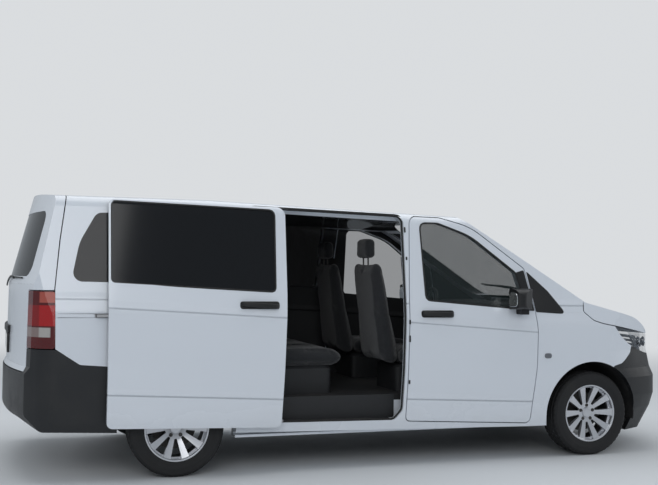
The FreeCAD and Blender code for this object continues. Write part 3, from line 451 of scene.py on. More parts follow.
DOOR_CREASES = [((0.189, 1.031), (1.193, 0.955)), ((0.196, 0.479), (1.137, 0.435))]
SLIDE_CREASES = [((-1.989, 1.139), (-0.752, 1.069)), ((-1.960, 0.576), (-0.785, 0.516))]
LEFT_CREASES = [((-1.0, 1.083), (0.2, 1.031)), ((-1.0, 0.535), (0.2, 0.479))]
REAR_CREASE = [((-2.302, 1.192), (-2.018, 1.189))]
PAINT = body_paint("white_paint")
PAINT_RIGHT = body_paint("white_paint_right_side", (1, 1.0), REAR_CREASE)
PAINT_LEFT = body_paint("white_paint_left_side", (1, -1.0), LEFT_CREASES)
PAINT_SLIDE = body_paint("white_paint_sliding_door", (1, 1.0), SLIDE_CREASES)
PAINT_DOOR_RIGHT = body_paint("white_paint_right_door", (1, 1.0), DOOR_CREASES)
PAINT_DOOR_LEFT = body_paint("white_paint_left_door", (1, -1.0), DOOR_CREASES)
PAINT_ROOF = body_paint("white_paint_roof", (2, -1.0))
PAINT_TAIL = body_paint("white_paint_tailgate", (0, 1.0))
print("creases pressed into each front door:", len(DOOR_CREASES))

# %% [markdown]
# ## Plastics, rubber and metal
# Bumpers are moulded with a fine leather-like grain, tyres are duller, and alloy wheels are lacquered
# metal, with painted shade darkening the rim behind the spokes. A picture of grain could be wrapped on, but
# cells worked out from a formula never stretch or repeat.

# %% Plastic, rubber and metal finishes
# the third colour is painted shade, for the rim where it lies deeper than the spokes
DUST, BRIGHT_ALLOY, RECESS_PAINTED_SHADE = (0.30, 0.28, 0.25), (0.62, 0.63, 0.66), (0.03, 0.03, 0.032)


def grained(name, colour, roughness, scale, depth, dust):
    """Moulded plastic: cells of grain in relief and a little dust."""
    finish = Finish(name, colour, roughness)
    coordinates = finish.node("ShaderNodeTexCoord", output="Object")
    cells = finish.node("ShaderNodeTexVoronoi", inputs={"Vector": coordinates, "Scale": scale})
    dusty = finish.noise(5.0, 5.0).ramp(0.45, 0.8)
    paler = tuple(0.6 * c + 0.4 * d for c, d in zip(colour, DUST))
    finish.paint(finish.mix(dusty * dust, colour, paler))
    finish.rough(dusty * 0.15 + roughness)
    finish.relief(cells, 0.5, depth)
    return finish.material


def metal(name, colour, roughness, spread, metallic=1.0):
    """Metal with cloudy differences in its polish."""
    finish = Finish(name, colour, roughness, Metallic=metallic)
    finish.rough(finish.noise(14.0, 4.0) * spread + (roughness - spread / 2))
    finish.relief(finish.noise(300.0, 2.0), 0.05, 0.0005)
    return finish.material


def wheel_metal():
    """Lacquered alloy, bright on the spokes; painted shade darkens what lies deeper than the spokes' face."""
    finish = Finish("wheel_alloy", BRIGHT_ALLOY, 0.30, Metallic=0.8)
    across = finish.place()[1]
    # painted shade: the rim turns dark where it lies deeper than the spokes' face
    deep = 1 - across.apply("ABSOLUTE").ramp(0.848, 0.872)
    finish.paint(finish.mix(deep * 0.92, BRIGHT_ALLOY, RECESS_PAINTED_SHADE))
    finish.rough(deep * 0.3 + finish.noise(14.0, 4.0) * 0.08 + 0.26)
    return finish.material


BUMPER = grained("bumper_plastic", (0.009, 0.010, 0.012), 0.46, 900.0, 0.0004, 0.08)
BLACK = grained("black_trim", (0.006, 0.006, 0.007), 0.42, 1400.0, 0.0002, 0.06)
CABIN = grained("cabin_plastic", (0.018, 0.019, 0.021), 0.6, 1100.0, 0.0003, 0.05)
RUBBER = grained("tyre_rubber", (0.011, 0.011, 0.012), 0.75, 1500.0, 0.0002, 0.12)
SEAL = grained("seal_rubber", (0.008, 0.008, 0.008), 0.5, 1600.0, 0.0001, 0.05)
CARPET = grained("floor_mat", (0.016, 0.016, 0.017), 0.85, 2500.0, 0.0008, 0.4)
UNDER = grained("underbody_coating", (0.012, 0.012, 0.013), 0.8, 300.0, 0.001, 0.25)
TANK = grained("tank_plastic", (0.02, 0.02, 0.02), 0.5, 700.0, 0.0004, 0.3)
ALLOY = wheel_metal()
STEEL = metal("bare_steel", (0.42, 0.42, 0.43), 0.42, 0.15)
IRON = metal("cast_iron", (0.10, 0.095, 0.09), 0.6, 0.2, 0.7)
CHROME = metal("bright_metal", (0.80, 0.81, 0.83), 0.12, 0.04)
MIRROR = metal("mirror_silver", (0.85, 0.87, 0.88), 0.03, 0.01)
print("plastics and metals ready")

# %% [markdown]
# ## Glass and lamps
# The rear panes are nearly black, the front ones faintly green. Glass that bends light would cost long
# renders, so a pane is a gloss surface whose alpha says how much its tint hides. The tail lamp is one
# moulding in bands of red, with a clear window low on its inner side.

# %% Glass and lamp finishes
GLASS_ROUGH = 0.09


def glass(name, colour, alpha):
    """Tinted pane: the alpha is how much the tint hides."""
    finish = Finish(name, colour, GLASS_ROUGH, Alpha=alpha, Specular_IOR_Level=0.35)
    finish.rough(finish.noise(2.0, 2.0) * 0.02 + GLASS_ROUGH)
    return finish.material


def lens(name, colour, alpha):
    """Lamp plastic: a faint tint under a hard glossy coat."""
    return Finish(name, colour, 0.06, Alpha=alpha, Coat_Weight=0.8, Coat_Roughness=0.02).material


def band(z, low, high):
    """1 between two heights, 0 outside, with edges 3 mm soft."""
    return z.ramp(low - 0.0015, low + 0.0015) * (1 - z.ramp(high - 0.0015, high + 0.0015))


def tail_lamp_finish():
    """Tall lamp: each band of height, and each side of a line along the vehicle, mixes in its colour."""
    finish = Finish("tail_lamp_lens", (0.35, 0.01, 0.015), 0.12, Coat_Weight=0.3, Coat_Roughness=0.04)
    x, _, z = finish.place()
    red, deep = (0.40, 0.004, 0.006), (0.09, 0.001, 0.002)
    rosy, clear = (0.42, 0.085, 0.06), (0.42, 0.40, 0.38)
    behind = x * -1
    inner, rear_part = behind.ramp(2.324, 2.332), behind.ramp(2.392, 2.402)
    colour = finish.mix(band(z, 1.014, 1.147), deep, red)
    colour = finish.mix(band(z, 1.164, 1.232) * (1 - rear_part), colour, rosy)
    colour = finish.mix(band(z, 0.942, 1.004) * inner, colour, clear)
    finish.paint(finish.mix(rear_part * 0.55, colour, deep))
    finish.relief((z * 900.0).apply("SINE"), 0.25, 0.001)
    return finish.material


DARK_GLASS = glass("privacy_glass", (0.004, 0.005, 0.007), 0.93)
GREEN_GLASS = glass("window_glass", (0.02, 0.03, 0.03), 0.38)
SCREEN_GLASS = glass("screen_glass", (0.03, 0.045, 0.045), 0.30)
CLEAR_LENS = lens("clear_lens", (0.30, 0.33, 0.37), 0.22)
SMOKE = lens("smoked_lens", (0.16, 0.17, 0.19), 0.9)
TAIL_LENS = tail_lamp_finish()
print("glass and lamps ready")

# %% [markdown]
# ## Seat cloth
# Vehicle cloth is a tight weave of dark threads. They could be modelled, but they are so fine that two
# crossed waves, in colour and in relief, look the same.

# %% Cloth finish
THREAD = 0.0022


def cloth(name, colour):
    """Woven cloth: the product of two crossed sine waves, with a slow change of tone."""
    finish = Finish(name, colour, 0.9, Sheen_Weight=0.3, Sheen_Roughness=0.5)
    x, y, z = finish.place()
    pace = 2 * math.pi / THREAD
    weave = ((x + z) * pace).apply("SINE") * (y * pace).apply("SINE")
    lighter = tuple(min(1.0, 1.9 * c + 0.004) for c in colour)
    tone = (weave * 0.25 + finish.noise(30.0, 3.0) * 0.5).ramp(0.0, 0.6)
    finish.paint(finish.mix(tone, colour, lighter))
    finish.relief(weave, 0.6, 0.0006)
    return finish.material


SEAT_CLOTH = cloth("seat_cloth", (0.010, 0.011, 0.013))
print("threads", THREAD * 1000, "mm apart")

# %% [markdown]
# ## Dress the ready-made parts
# Each part keeps its shape and gets the finish of the real material. They could be picked one by one, but a
# table is shorter, and a part that is not in it is reported.

# %% Assign finishes to the frame's parts
WEARS = [
    (PAINT, "bonnet wing_right wing_left"), (PAINT_ROOF, "roof_panel"), (PAINT_TAIL, "tailgate"),
    (PAINT_RIGHT, "side_panel_right"), (PAINT_LEFT, "side_panel_left"), (PAINT_SLIDE, "sliding_door"),
    (PAINT_DOOR_RIGHT, "front_door_right"), (PAINT_DOOR_LEFT, "front_door_left"),
    (SCREEN_GLASS, "windscreen"), (GREEN_GLASS, "door_glass_right door_glass_left"),
    (DARK_GLASS, "side_glass_right side_glass_left sliding_door_glass tailgate_glass"),
    (CLEAR_LENS, "headlamps"), (TAIL_LENS, "tail_lamps"), (BUMPER, "front_bumper rear_bumper"),
    (BLACK, "mirror_right mirror_left scuttle grille"), (CABIN, "dashboard steering_wheel"),
    (UNDER, "floor_pan bulkhead front_subframe"), (STEEL, "door_rails exhaust"), (TANK, "fuel_tank"),
    (IRON, "engine_block knuckle_right knuckle_left rear_axle"),
    (SEAT_CLOTH, "driver_seat passenger_seat second_row third_row"),
    (RUBBER, "tyre_front_right tyre_front_left tyre_rear_right tyre_rear_left"),
    (ALLOY, "rim_front_right rim_front_left rim_rear_right rim_rear_left"),
]
FINISH_OF = {node: finish for finish, nodes in WEARS for node in nodes.split()}
for node, finish in FINISH_OF.items():
    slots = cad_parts[node].data.materials
    slots.clear()
    slots.append(finish)
print("parts with no finish:", [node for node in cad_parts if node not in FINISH_OF])

# %% [markdown]
# ## Small solids on the body
# Most fittings are a slab, raised off a plane, a pad, laid on the curved side, or a form turned about an
# axle. They could be cut from blocks, but a stack of loops, closed at both ends over a middle point, never
# leaves a hole.

# %% Slabs, pads and turned forms
def stacked(loops):
    """Loops of points one after another, closed at both ends over the middle of the end loops."""
    first, last = (np.broadcast_to(loop.mean(axis=0), loop.shape) for loop in (loops[0], loops[-1]))
    return grid(np.stack([first, *loops, last]), wrap_columns=True)


def half_size(loop):
    """Half the size of a loop along each axis."""
    return (loop.max(axis=0) - loop.min(axis=0)) / 2


def shrunk(loop, amount):
    """The loop drawn in towards its middle by an amount in metres, side by side."""
    centre = (loop.max(axis=0) + loop.min(axis=0)) / 2
    return centre + (loop - centre) * (1 - amount / half_size(loop))


def slab(corners, origin, across, up, height, edge=0.002):
    """Outline (across, up) on a plane at origin, raised by height with a bevelled edge."""
    across, up, origin = (np.asarray(v, float) for v in (across, up, origin))
    out, loop = np.cross(across, up), arc_loop(corners)
    levels = [(loop, 0.0), (loop, height - edge), (shrunk(loop, edge), height)]
    return stacked([origin + flat[:, :1] * across + flat[:, 1:] * up + out * rise for flat, rise in levels])


def pad(corners, side, height, shift=(0.0, 0.0), edge=0.002, step=0.01, sunk=0.001):
    """Outline (along, up) laid on the body side and raised by height; inner loops keep it on the curve."""
    loop = arc_loop(corners, step)
    inside = shrunk(loop, 0.6 * half_size(loop))
    levels = [(inside, -sunk), (loop, -sunk), (loop, height - edge), (shrunk(loop, edge), height),
              (inside, height)]
    return stacked([on_side(flat, side, raised, shift) for flat, raised in levels])


def turned(profile, centre, axis_side, sides):
    """Profile (outboard, radius) turned about the axle direction through centre."""
    profile, turn = np.asarray(profile, float)[:, :, None], turns(sides)
    radius, outboard = profile[:, 1], profile[:, 0] * np.ones(sides)
    points = np.stack([radius * np.cos(turn), axis_side * outboard, radius * np.sin(turn)], 2)
    return grid(points + np.asarray(centre), wrap_columns=True)


print("solids ready")

# %% [markdown]
# ## Tyres
# Tread could be built from separate blocks, but a radius that depends on the turn and on the distance
# across cuts it in at once: four straight grooves, slanted cuts at the shoulders and finer ones between.
# The walls carry fine rings, as moulded rubber does.

# %% Tyres with tread
WHEELS = [("front_right", RIGHT), ("front_left", LEFT), ("rear_right", RIGHT), ("rear_left", LEFT)]
TYRE_R, TYRE_HALF, BEAD_R = 0.3198, 0.1022, 0.2185
SECTION = [(-0.084, TYRE_R, 0.016), (0.084, TYRE_R, 0.016), (TYRE_HALF, 0.300, 0.012),
           (TYRE_HALF, 0.262, 0.035), (0.091, BEAD_R, 0.004), (-0.091, BEAD_R, 0.004),
           (-TYRE_HALF, 0.262, 0.035), (-TYRE_HALF, 0.300, 0.012)]
GROOVES, GROOVE_HALF, GROOVE_DEEP = (-0.052, -0.018, 0.018, 0.052), 0.0042, 0.007
CUTS, STEPS, CUT_FROM = 54, 4, 0.7            # cuts round the tyre, points to each, and where its wave starts
SLANT, FINE_SLANT = 70, 110                   # radians that the wave shifts by per metre across
SHOULDER_FROM, FINE_TO = 0.056, 0.047
CROWN_R, CROWN_RISE = 0.303, 0.008            # the tread fades in over this height
WALL_FROM, RING_DEEP, RING_R, RING_PACE = 0.088, 0.0005, 0.235, 0.0115


def tyre_surface(centre):
    """Radius over (turn, across): section minus groove depth where a groove or a slanted cross cut runs.

    On the walls the distance across swings by half a millimetre, as a sine of the radius."""
    across, radius = arc_loop(SECTION, 0.0034).T[:, None]
    turn, off = turns(CUTS * STEPS)[:, None], np.abs(across)
    crown = np.clip((radius - CROWN_R) / CROWN_RISE, 0, 1)
    groove = np.abs(across[..., None] - np.array(GROOVES)).min(axis=-1) < GROOVE_HALF
    cut = (np.cos(CUTS * turn + SLANT * off) > CUT_FROM) & (off > SHOULDER_FROM)
    fine = (np.cos(CUTS * turn - FINE_SLANT * across) > CUT_FROM) & (off < FINE_TO)
    deep = np.maximum(np.maximum(groove * 1.0, cut * 0.8), fine * 0.35) * GROOVE_DEEP * crown
    rings = RING_DEEP * np.sin((radius - RING_R) * 2 * np.pi / RING_PACE) * (off > WALL_FROM)
    radius = radius - deep
    across = np.broadcast_to(across - np.sign(across) * (RING_DEEP - rings), radius.shape)
    points = np.stack([radius * np.cos(turn), across, radius * np.sin(turn)], 2)
    return grid(points + centre, wrap_rows=True, wrap_columns=True)


for corner, side in WHEELS:
    piece("tread_" + corner, corner + "_wheel", "rubber", RUBBER, tyre_surface(middle("tyre_" + corner)),
          replaces=("tyre_" + corner,), crease_angle=50)
print("tyre radius", TYRE_R, "on", len(WHEELS), "wheels")

# %% [markdown]
# ## Wheel bolts
# Five six-sided bolts clamp each rim, deep in their pockets, and a plain cap covers the hub. Each could be
# a bevelled cylinder, but all are lathe work, so a short profile turned about the axle is enough.

# %% Bolts and caps
BOLTS, BOLT_CIRCLE, BOLT_R = 5, 0.056, 0.0074
BOLT_PROFILE = [(0.0215, 0.0), (0.0215, BOLT_R), (0.0335, BOLT_R), (0.0355, BOLT_R * 0.8), (0.0365, 0.0)]
POCKET_PROFILE = [(0.0360, 0.0), (0.0360, 0.0079), (0.0434, 0.0082), (0.0438, 0.0125), (0.0385, 0.0145),
                  (0.0355, 0.0)]
CAP_PROFILE = [(0.0484, 0.0), (0.0484, 0.031), (0.0500, 0.031), (0.0512, 0.028), (0.0516, 0.020),
               (0.0518, 0.0)]
for corner, side in WHEELS:
    centre = middle("tyre_" + corner)
    spots = [centre + (BOLT_CIRCLE * math.sin(t), 0, BOLT_CIRCLE * math.cos(t)) for t in turns(BOLTS)]
    heads = [turned(BOLT_PROFILE, spot, side, 6) for spot in spots]
    pockets = [turned(POCKET_PROFILE, spot, side, 20) for spot in spots]
    piece("bolts_" + corner, corner + "_wheel", "steel", IRON, *heads, *pockets)
    piece("hub_cap_" + corner, corner + "_wheel", "alloy", ALLOY, turned(CAP_PROFILE, centre, side, 40))
print(BOLTS, "bolts on a circle of", 2 * BOLT_CIRCLE)

# %% [markdown]
# ## Pull handles
# A handle bows off the panel and comes back to it. It could be cut from a block, but as a sweep its path is
# the panel's own surface plus a bow, so a hand fits behind it.

# %% Door handles
BOW_LOW, BOW_RISE, BOW_POWER = 0.006, 0.026, 0.45
PLATE_OVER, PLATE_HALF = 0.012, 0.026
SLIDE_SHIFT = (0.0, DOOR_OUT)


def pull_handle(name, body, side, start, end, shift=(0.0, 0.0)):
    """Bar between two places (along, up): off the side by 6 mm at its ends and 32 mm in the middle.

    The bow is its low value plus its rise times the sine over the length, to a power."""
    along = np.linspace(0, 1, 29)
    x, z = (a + (b - a) * along for a, b in zip(start, end))
    bow = BOW_LOW + BOW_RISE * np.clip(np.sin(np.pi * along), 0, 1) ** BOW_POWER
    path = np.stack([x + shift[0], side * (side_y(x, z) + bow + shift[1]), z], 1)
    centre_z = (start[1] + end[1]) / 2
    low, high = start[0] - PLATE_OVER, end[0] + PLATE_OVER
    plate = rectangle(low, centre_z - PLATE_HALF, high, centre_z + PLATE_HALF, 0.02)
    piece(name, body, "black_plastic", BLACK, swept(path, rounded_bar(0.016, 0.032, 0.006), UP),
          pad(plate, side, 0.004, shift))


pull_handle("handle_front_right", "right_front_door", RIGHT, (0.277, 1.093), (0.514, 1.082))
pull_handle("handle_front_left", "left_front_door", LEFT, (0.277, 1.093), (0.514, 1.082))
pull_handle("handle_sliding", "body_shell", RIGHT, (-1.089, 1.162), (-0.836, 1.143), SLIDE_SHIFT)
print("handles bow out by", BOW_LOW + BOW_RISE, "m")

# %% [markdown]
# ## Rubber seals
# A side pane sits in a rubber seal, and the sliding doorway has a thicker one. A groove could be cut round
# the pane, but a small section carried round its outline is simpler.

# %% Window outlines and their seals
FRONT_PANE = [(0.295, 1.755, 0.05), (0.442, 1.755, 0.07), (0.701, 1.668, 0.50), (1.065, 1.396, 0.02),
              (1.145, 1.119, 0.03), (0.310, 1.187, 0.04)]
SLIDE_RISE = DOOR_BACK * FALL
SLIDE_PANE = [(-1.957, 1.806 + SLIDE_RISE, 0.03), (-0.837, 1.777 + SLIDE_RISE, 0.045),
              (-0.848, 1.212 + SLIDE_RISE, 0.03), (-1.957, 1.268 + SLIDE_RISE, 0.03)]
QUARTER_PANE = [(-2.202, 1.302, 0.06), (-2.150, 1.560, 0.30), (-2.040, 1.757, 0.06), (-1.100, 1.790, 0.04),
                (-1.100, 1.286, 0.04)]
MIDDLE_PANE = [(-1.015, 1.796, 0.04), (0.085, 1.786, 0.04), (0.060, 1.236, 0.04), (-1.015, 1.288, 0.04)]
DOORWAY = [(-1.010, 1.833, 0.06), (0.167, 1.803, 0.06), (0.155, 1.188, 0.40), (0.127, 0.400, 0.06),
           (0.065, 0.330, 0.06), (-1.010, 0.345, 0.06)]
SEAL_BAR, DOORWAY_BAR = rounded_bar(0.012, 0.005, 0.002), rounded_bar(0.022, 0.014, 0.006)


def seal(name, body, side, corners, bar, out=0.0, shift=(0.0, 0.0)):
    """Section bar carried round the outline, its flat side on the body."""
    path = on_side(arc_loop(corners, 0.02), side, out, shift)
    piece(name, body, "rubber", SEAL, swept(path, bar, (0, side, 0), closed=True))


seal("seal_pane_front_right", "right_front_door", RIGHT, FRONT_PANE, SEAL_BAR)
seal("seal_pane_front_left", "left_front_door", LEFT, FRONT_PANE, SEAL_BAR)
seal("seal_pane_sliding", "body_shell", RIGHT, SLIDE_PANE, SEAL_BAR, shift=SLIDE_SHIFT)
seal("seal_pane_quarter_left", "body_shell", LEFT, QUARTER_PANE, SEAL_BAR)
seal("seal_pane_middle_left", "body_shell", LEFT, MIDDLE_PANE, SEAL_BAR)
seal("seal_doorway", "body_shell", RIGHT, DOORWAY, DOORWAY_BAR, out=-0.022)
print("doorway seal round", round(DOORWAY[1][0] - DOORWAY[0][0], 3), "m of opening")

# %% [markdown]
# ## Mirrors and the black corner plates
# A mirror's glass is a flat silvered plate just behind the housing's rim, so a slab does. The front corner
# of the door's window is filled by a black plate. It could be flat too, but the door is curved there, so it
# is a pad.

# %% Mirror glass and corner plates
MIRROR_PANE = [(0.016, 1.140, 0.025), (0.142, 1.148, 0.035), (0.142, 1.244, 0.045), (0.016, 1.252, 0.035)]
MIRROR_BACK = {RIGHT: 0.001, LEFT: -0.002}    # the slab rises forwards on the left and backwards on the right
DOOR_CORNER = [(1.068, 1.398, 0.004), (1.135, 1.416, 0.006), (1.202, 1.108, 0.006), (1.147, 1.112, 0.004)]
for side, hand in HANDS:
    rear = float(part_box("mirror_" + hand)[0][0])
    pane = slab(MIRROR_PANE, (rear + MIRROR_BACK[side], side * HALF, 0.0), (0, side, 0), UP, 0.003)
    piece("mirror_glass_" + hand, hand + "_front_door", "glass_clear", MIRROR, pane)
    piece("corner_plate_" + hand, hand + "_front_door", "black_plastic", BLACK, pad(DOOR_CORNER, side, 0.004))
print("mirror glass at x =", round(rear, 3))

# %% [markdown]
# ## Tailgate fittings
# The number plate is blank. Above it a strip hides the release handle, and a wiper rests along the foot of
# the glass. They could be fitted by eye, but paths from the tail's formula follow its bend.

# %% Plate, handle strip and rear wiper
PLATE_Z, STRIP_Z, WIPER_Z = 0.865, 0.962, 1.262
plate_x = float(tail_x(0.0, PLATE_Z)) - 0.001
plate_white = Finish("blank_plate", (0.82, 0.82, 0.80), 0.35)
plate_white.rough(plate_white.noise(20.0) * 0.1 + 0.3)
piece("plate_holder", "rear_gate", "black_plastic", BLACK,
      slab(rectangle(-0.275, -0.07, 0.275, 0.07, 0.012), (plate_x + 0.013, 0, PLATE_Z), (0, -1, 0), UP,
           0.015))
piece("number_plate_blank", "rear_gate", "paint", plate_white.material,
      slab(rectangle(-0.26, -0.055, 0.26, 0.055, 0.008), (plate_x - 0.003, 0, PLATE_Z), (0, -1, 0), UP, 0.003,
           edge=0.001))
strip = laid(tail_x, np.linspace(-0.30, 0.30, 31), STRIP_Z, -0.004)
piece("handle_strip", "rear_gate", "black_plastic", BLACK, swept(strip, rounded_bar(0.030, 0.048, 0.010), UP))

ARM_BAR = rounded_bar(0.010, 0.016, 0.004)
sweep = np.linspace(0, 1, 21)
arm = laid(tail_x, -0.40 * sweep, WIPER_Z + 0.055 * sweep + 0.03 * np.sin(np.pi * sweep), -0.013)
blade_y = np.linspace(-0.62, -0.14, 25)
blade = laid(tail_x, blade_y, WIPER_Z + 0.060 + 0.012 * (blade_y + 0.4), -0.008)
piece("rear_wiper_arm", "rear_gate", "black_plastic", BLACK, swept(arm, ARM_BAR, UP),
      swept(blade, rounded_bar(0.012, 0.010, 0.003), UP))
print("plate at a height of", PLATE_Z, "m")

# %% [markdown]
# ## Front wipers and side repeaters
# Two arms rise from the scuttle and lie on the screen. They could be placed by hand, but the nose formula
# puts them on it. A repeater lamp is a smoked oval, small enough to be a pad on the wing.

# %% Front wipers and repeaters
WIPER_FOOT, WIPER_RISE = 1.205, 0.075
for number, (foot, tip) in enumerate(((-0.10, 0.62), (-0.72, -0.08))):
    run, blade_run = np.linspace(0, 1, 25), np.linspace(0.28, 1.0, 25)
    arm_z = WIPER_FOOT + WIPER_RISE * run + 0.02 * np.sin(np.pi * run)
    arm = laid(nose_x, foot + (tip - foot) * run, arm_z, 0.030)
    blade = laid(nose_x, foot + (tip - foot) * blade_run, WIPER_FOOT + 0.010 + WIPER_RISE * blade_run, 0.012)
    piece("front_wiper_%d" % number, "body_shell", "black_plastic", BLACK, swept(arm, ARM_BAR, UP),
          swept(blade, rounded_bar(0.010, 0.012, 0.003), UP))
REPEATER = rectangle(1.278, 0.752, 1.338, 0.790, 0.018)
for side, hand in HANDS:
    piece("repeater_" + hand, "body_shell", "lamp_clear", SMOKE, pad(REPEATER, side, 0.008, edge=0.004))
print("wipers and repeaters placed")

# %% [markdown]
# ## Stepping in: mat, catches and the black corners
# The step wears a dark mat with a riser behind it, small catches sit on the pillar's edge, and a black
# corner fills the body ahead of each mirror. All could be cut into the panels, but slabs and pads are
# quicker to change.

# %% Step mat, riser, catches and corner plates on the body
STEP_DROP, STEP_LONG = 0.015, 1.075           # the step sinks by this much over its length
MAT = [(-0.98, -0.945, 0.01), (0.055, -0.945, 0.03), (0.055, -0.842, 0.01), (-0.98, -0.842, 0.01)]
mat_z = 0.3312 + STEP_DROP * 0.065 / STEP_LONG
piece("step_mat", "body_shell", "rubber", CARPET,
      slab(MAT, (0, 0, mat_z), (1.0, 0.0, -STEP_DROP / STEP_LONG), (0, 1, 0), 0.004, edge=0.001))
piece("step_riser", "body_shell", "trim", CABIN,
      slab(rectangle(-1.08, 0.335, 0.10, 0.503, 0.005), (0, -0.8368, 0), (1, 0, 0), UP, 0.003, edge=0.001))
COVER = [(-2.294, 1.0705, 0.002), (-2.052, 1.0685, 0.002), (-2.052, 1.0915, 0.002), (-2.294, 1.0935, 0.002)]
piece("rail_cover", "body_shell", "paint", PAINT, pad(COVER, RIGHT, 0.002, edge=0.001, sunk=0.004))
CATCHES = [(0.1735, 1.700, 0.020), (0.1735, 1.490, 0.012), (0.1725, 1.030, 0.016), (0.1715, 0.910, 0.024),
           (0.1690, 0.600, 0.014)]            # along, up, half the height
bits = [pad(rectangle(x - 0.006, z - half, x + 0.006, z + half, 0.003), RIGHT, 0.006, step=0.004)
        for x, z, half in CATCHES]
piece("door_catches", "body_shell", "black_plastic", BLACK, *bits)
BODY_CORNER = [(1.215, 1.100, 0.006), (1.478, 1.084, 0.025), (1.330, 1.258, 0.080), (1.158, 1.408, 0.004)]
for side, hand in HANDS:
    piece("body_corner_" + hand, "body_shell", "black_plastic", BLACK,
          pad(BODY_CORNER, side, 0.003, edge=0.001))
print("catches on the pillar:", len(CATCHES))

# %% [markdown]
# ## Headlamps from inside
# The lamp's cover is clear, so what shows is a row of bright bowls. Each could be half a sphere, but a real
# reflector is a parabola: its radius goes with the square root of its depth.

# %% Reflector bowls
BOWLS = [(0.855, 0.868, 0.034), (0.790, 0.858, 0.040), (0.705, 0.842, 0.036)]   # across, up, radius
BOWL_DEEP, BOWL_WALL = 0.022, 0.002


def bowl(centre, facing_way, radius, depth, steps=12, sides=32):
    """Cup whose radius goes with the square root of depth, turned about its facing direction, with a wall."""
    way = np.asarray(facing_way, float) / np.linalg.norm(facing_way)
    side = np.cross(way, UP)
    side /= np.linalg.norm(side)
    rise = np.cross(side, way)
    run = np.linspace(0.02, 1, steps)
    outer = np.stack([radius * np.sqrt(run), (run - 1) * depth], 1)
    inner = outer[::-1] * [0.94, 1.0] + [0, BOWL_WALL]
    profile = np.concatenate([[[0, outer[0, 1]]], outer, inner, [[0, inner[-1, 1]]]])
    angle = turns(sides)[None, :, None]
    points = (np.asarray(centre) + profile[:, None, 1:] * way
              + profile[:, None, :1] * (np.cos(angle) * side + np.sin(angle) * rise))
    return grid(points, wrap_columns=True)


for side, hand in HANDS:
    cups = []
    for y, z, radius in BOWLS:
        x = min(float(nose_x(y, z)), FRONT_X + 0.315 + (HALF - y - 0.010) * 0.325 / 0.166)
        cups.append(bowl((x - 0.022, side * (y - 0.012), z), (1.0, side * 0.25, 0.0), radius, BOWL_DEEP))
    piece("lamp_bowls_" + hand, "body_shell", "steel", CHROME, *cups)
print("bowls in each headlamp:", len(BOWLS))

# %% [markdown]
# ## Padded seats
# A seat pad is foam under stretched cloth. It could be shaped by hand, but a cloth solver gives the crown
# and the pulled-in edges by itself: a rounded block, a little too small, is remeshed into even squares and
# blown up gently.

# %% Blow up one pad
VOXEL, PRESSURE, FRAMES = 0.008, 4.0, 20


def rounded_block(size, corner, steps=5):
    """Block centred at the origin: its plan loop is drawn in along quarter circles, top and bottom."""
    depth, width, height = size
    plan = arc_loop(rectangle(-depth / 2, -width / 2, depth / 2, width / 2, corner), 0.02)
    edge = min(corner, height / 2) * 0.8
    levels = [(edge * (1 - math.cos(t)), height / 2 - edge * (1 - math.sin(t)))
              for t in np.linspace(0, np.pi / 2, steps)]
    levels = [(drawn, -up) for drawn, up in reversed(levels)] + levels
    return stacked([np.column_stack([shrunk(plan, drawn), np.full(len(plan), up)]) for drawn, up in levels])


def worked_out(thing):
    """The object with its modifiers worked out."""
    return thing.evaluated_get(bpy.context.evaluated_depsgraph_get())


def places_of(mesh):
    """Vertex places as an array."""
    flat = np.empty(len(mesh.vertices) * 3)
    mesh.vertices.foreach_get("co", flat)
    return flat.reshape(-1, 3)


def blown_up(name, size, corner, cap):
    """Points (in units of the block's half size) and faces of the block after the cloth solver.

    No point moves further than the cap from where it was."""
    points, squares = rounded_block(size, corner)
    block = new_object(name, points, squares.tolist())
    outward(block.data)
    remesh = block.modifiers.new("remesh", "REMESH")
    remesh.mode, remesh.voxel_size = "VOXEL", VOXEL
    start = bpy.data.meshes.new_from_object(worked_out(block))
    block.modifiers.clear()
    block.data = start
    before = after = places_of(start)
    solver = block.modifiers.new("solver", "CLOTH")
    solver.settings.use_pressure = True
    solver.settings.uniform_pressure_force = PRESSURE
    solver.settings.effector_weights.gravity = 0.0
    solver.point_cache.frame_end = FRAMES
    for frame_number in range(1, FRAMES + 1):
        bpy.context.scene.frame_set(frame_number)
    after = places_of(worked_out(block).to_mesh())
    bpy.context.scene.frame_set(1)
    moved = after - before
    moved -= moved.mean(axis=0)
    length = np.linalg.norm(moved, axis=1, keepdims=True)
    after = before + moved * np.minimum(1.0, cap / np.maximum(length, 1e-9))
    corners = np.empty(len(start.polygons) * 4, dtype=int)
    start.polygons.foreach_get("vertices", corners)
    bpy.data.objects.remove(block)
    low, high = after.min(axis=0), after.max(axis=0)
    print(name, len(after), "points, moved up to", round(min(cap, float(length.max())) * 1000, 1), "mm")
    return (after - (low + high) / 2) / ((high - low) / 2), corners.reshape(-1, 4)


CUSHION_PAD = blown_up("cushion_block", (0.46, 0.45, 0.095), 0.05, 0.024)
BACK_PAD = blown_up("back_block", (0.10, 0.44, 0.62), 0.045, 0.024)
HEAD_PAD = blown_up("head_block", (0.075, 0.235, 0.135), 0.035, 0.012)

# %% [markdown]
# ## Sew the covers
# Seams hold the cover down in lines. They could be sewn before the solver, but the remesh would smooth them
# away, so points near a seam sink afterwards. Then the pad, whose points run from -1 to 1, is stretched to
# its place.

# %% Cushion, backrest and head restraint
SEAT_TOP, SEAT_DEPTH, CUSHION, BACK_TOP, RAKE = 0.830, 0.500, 0.130, 1.450, 0.130
BOLSTER, SEAM_DEEP, SEAM_WIDE = 0.64, 0.007, 0.035
FACE_FROM = 0.1                               # the seen face of a pad starts here, in its own units


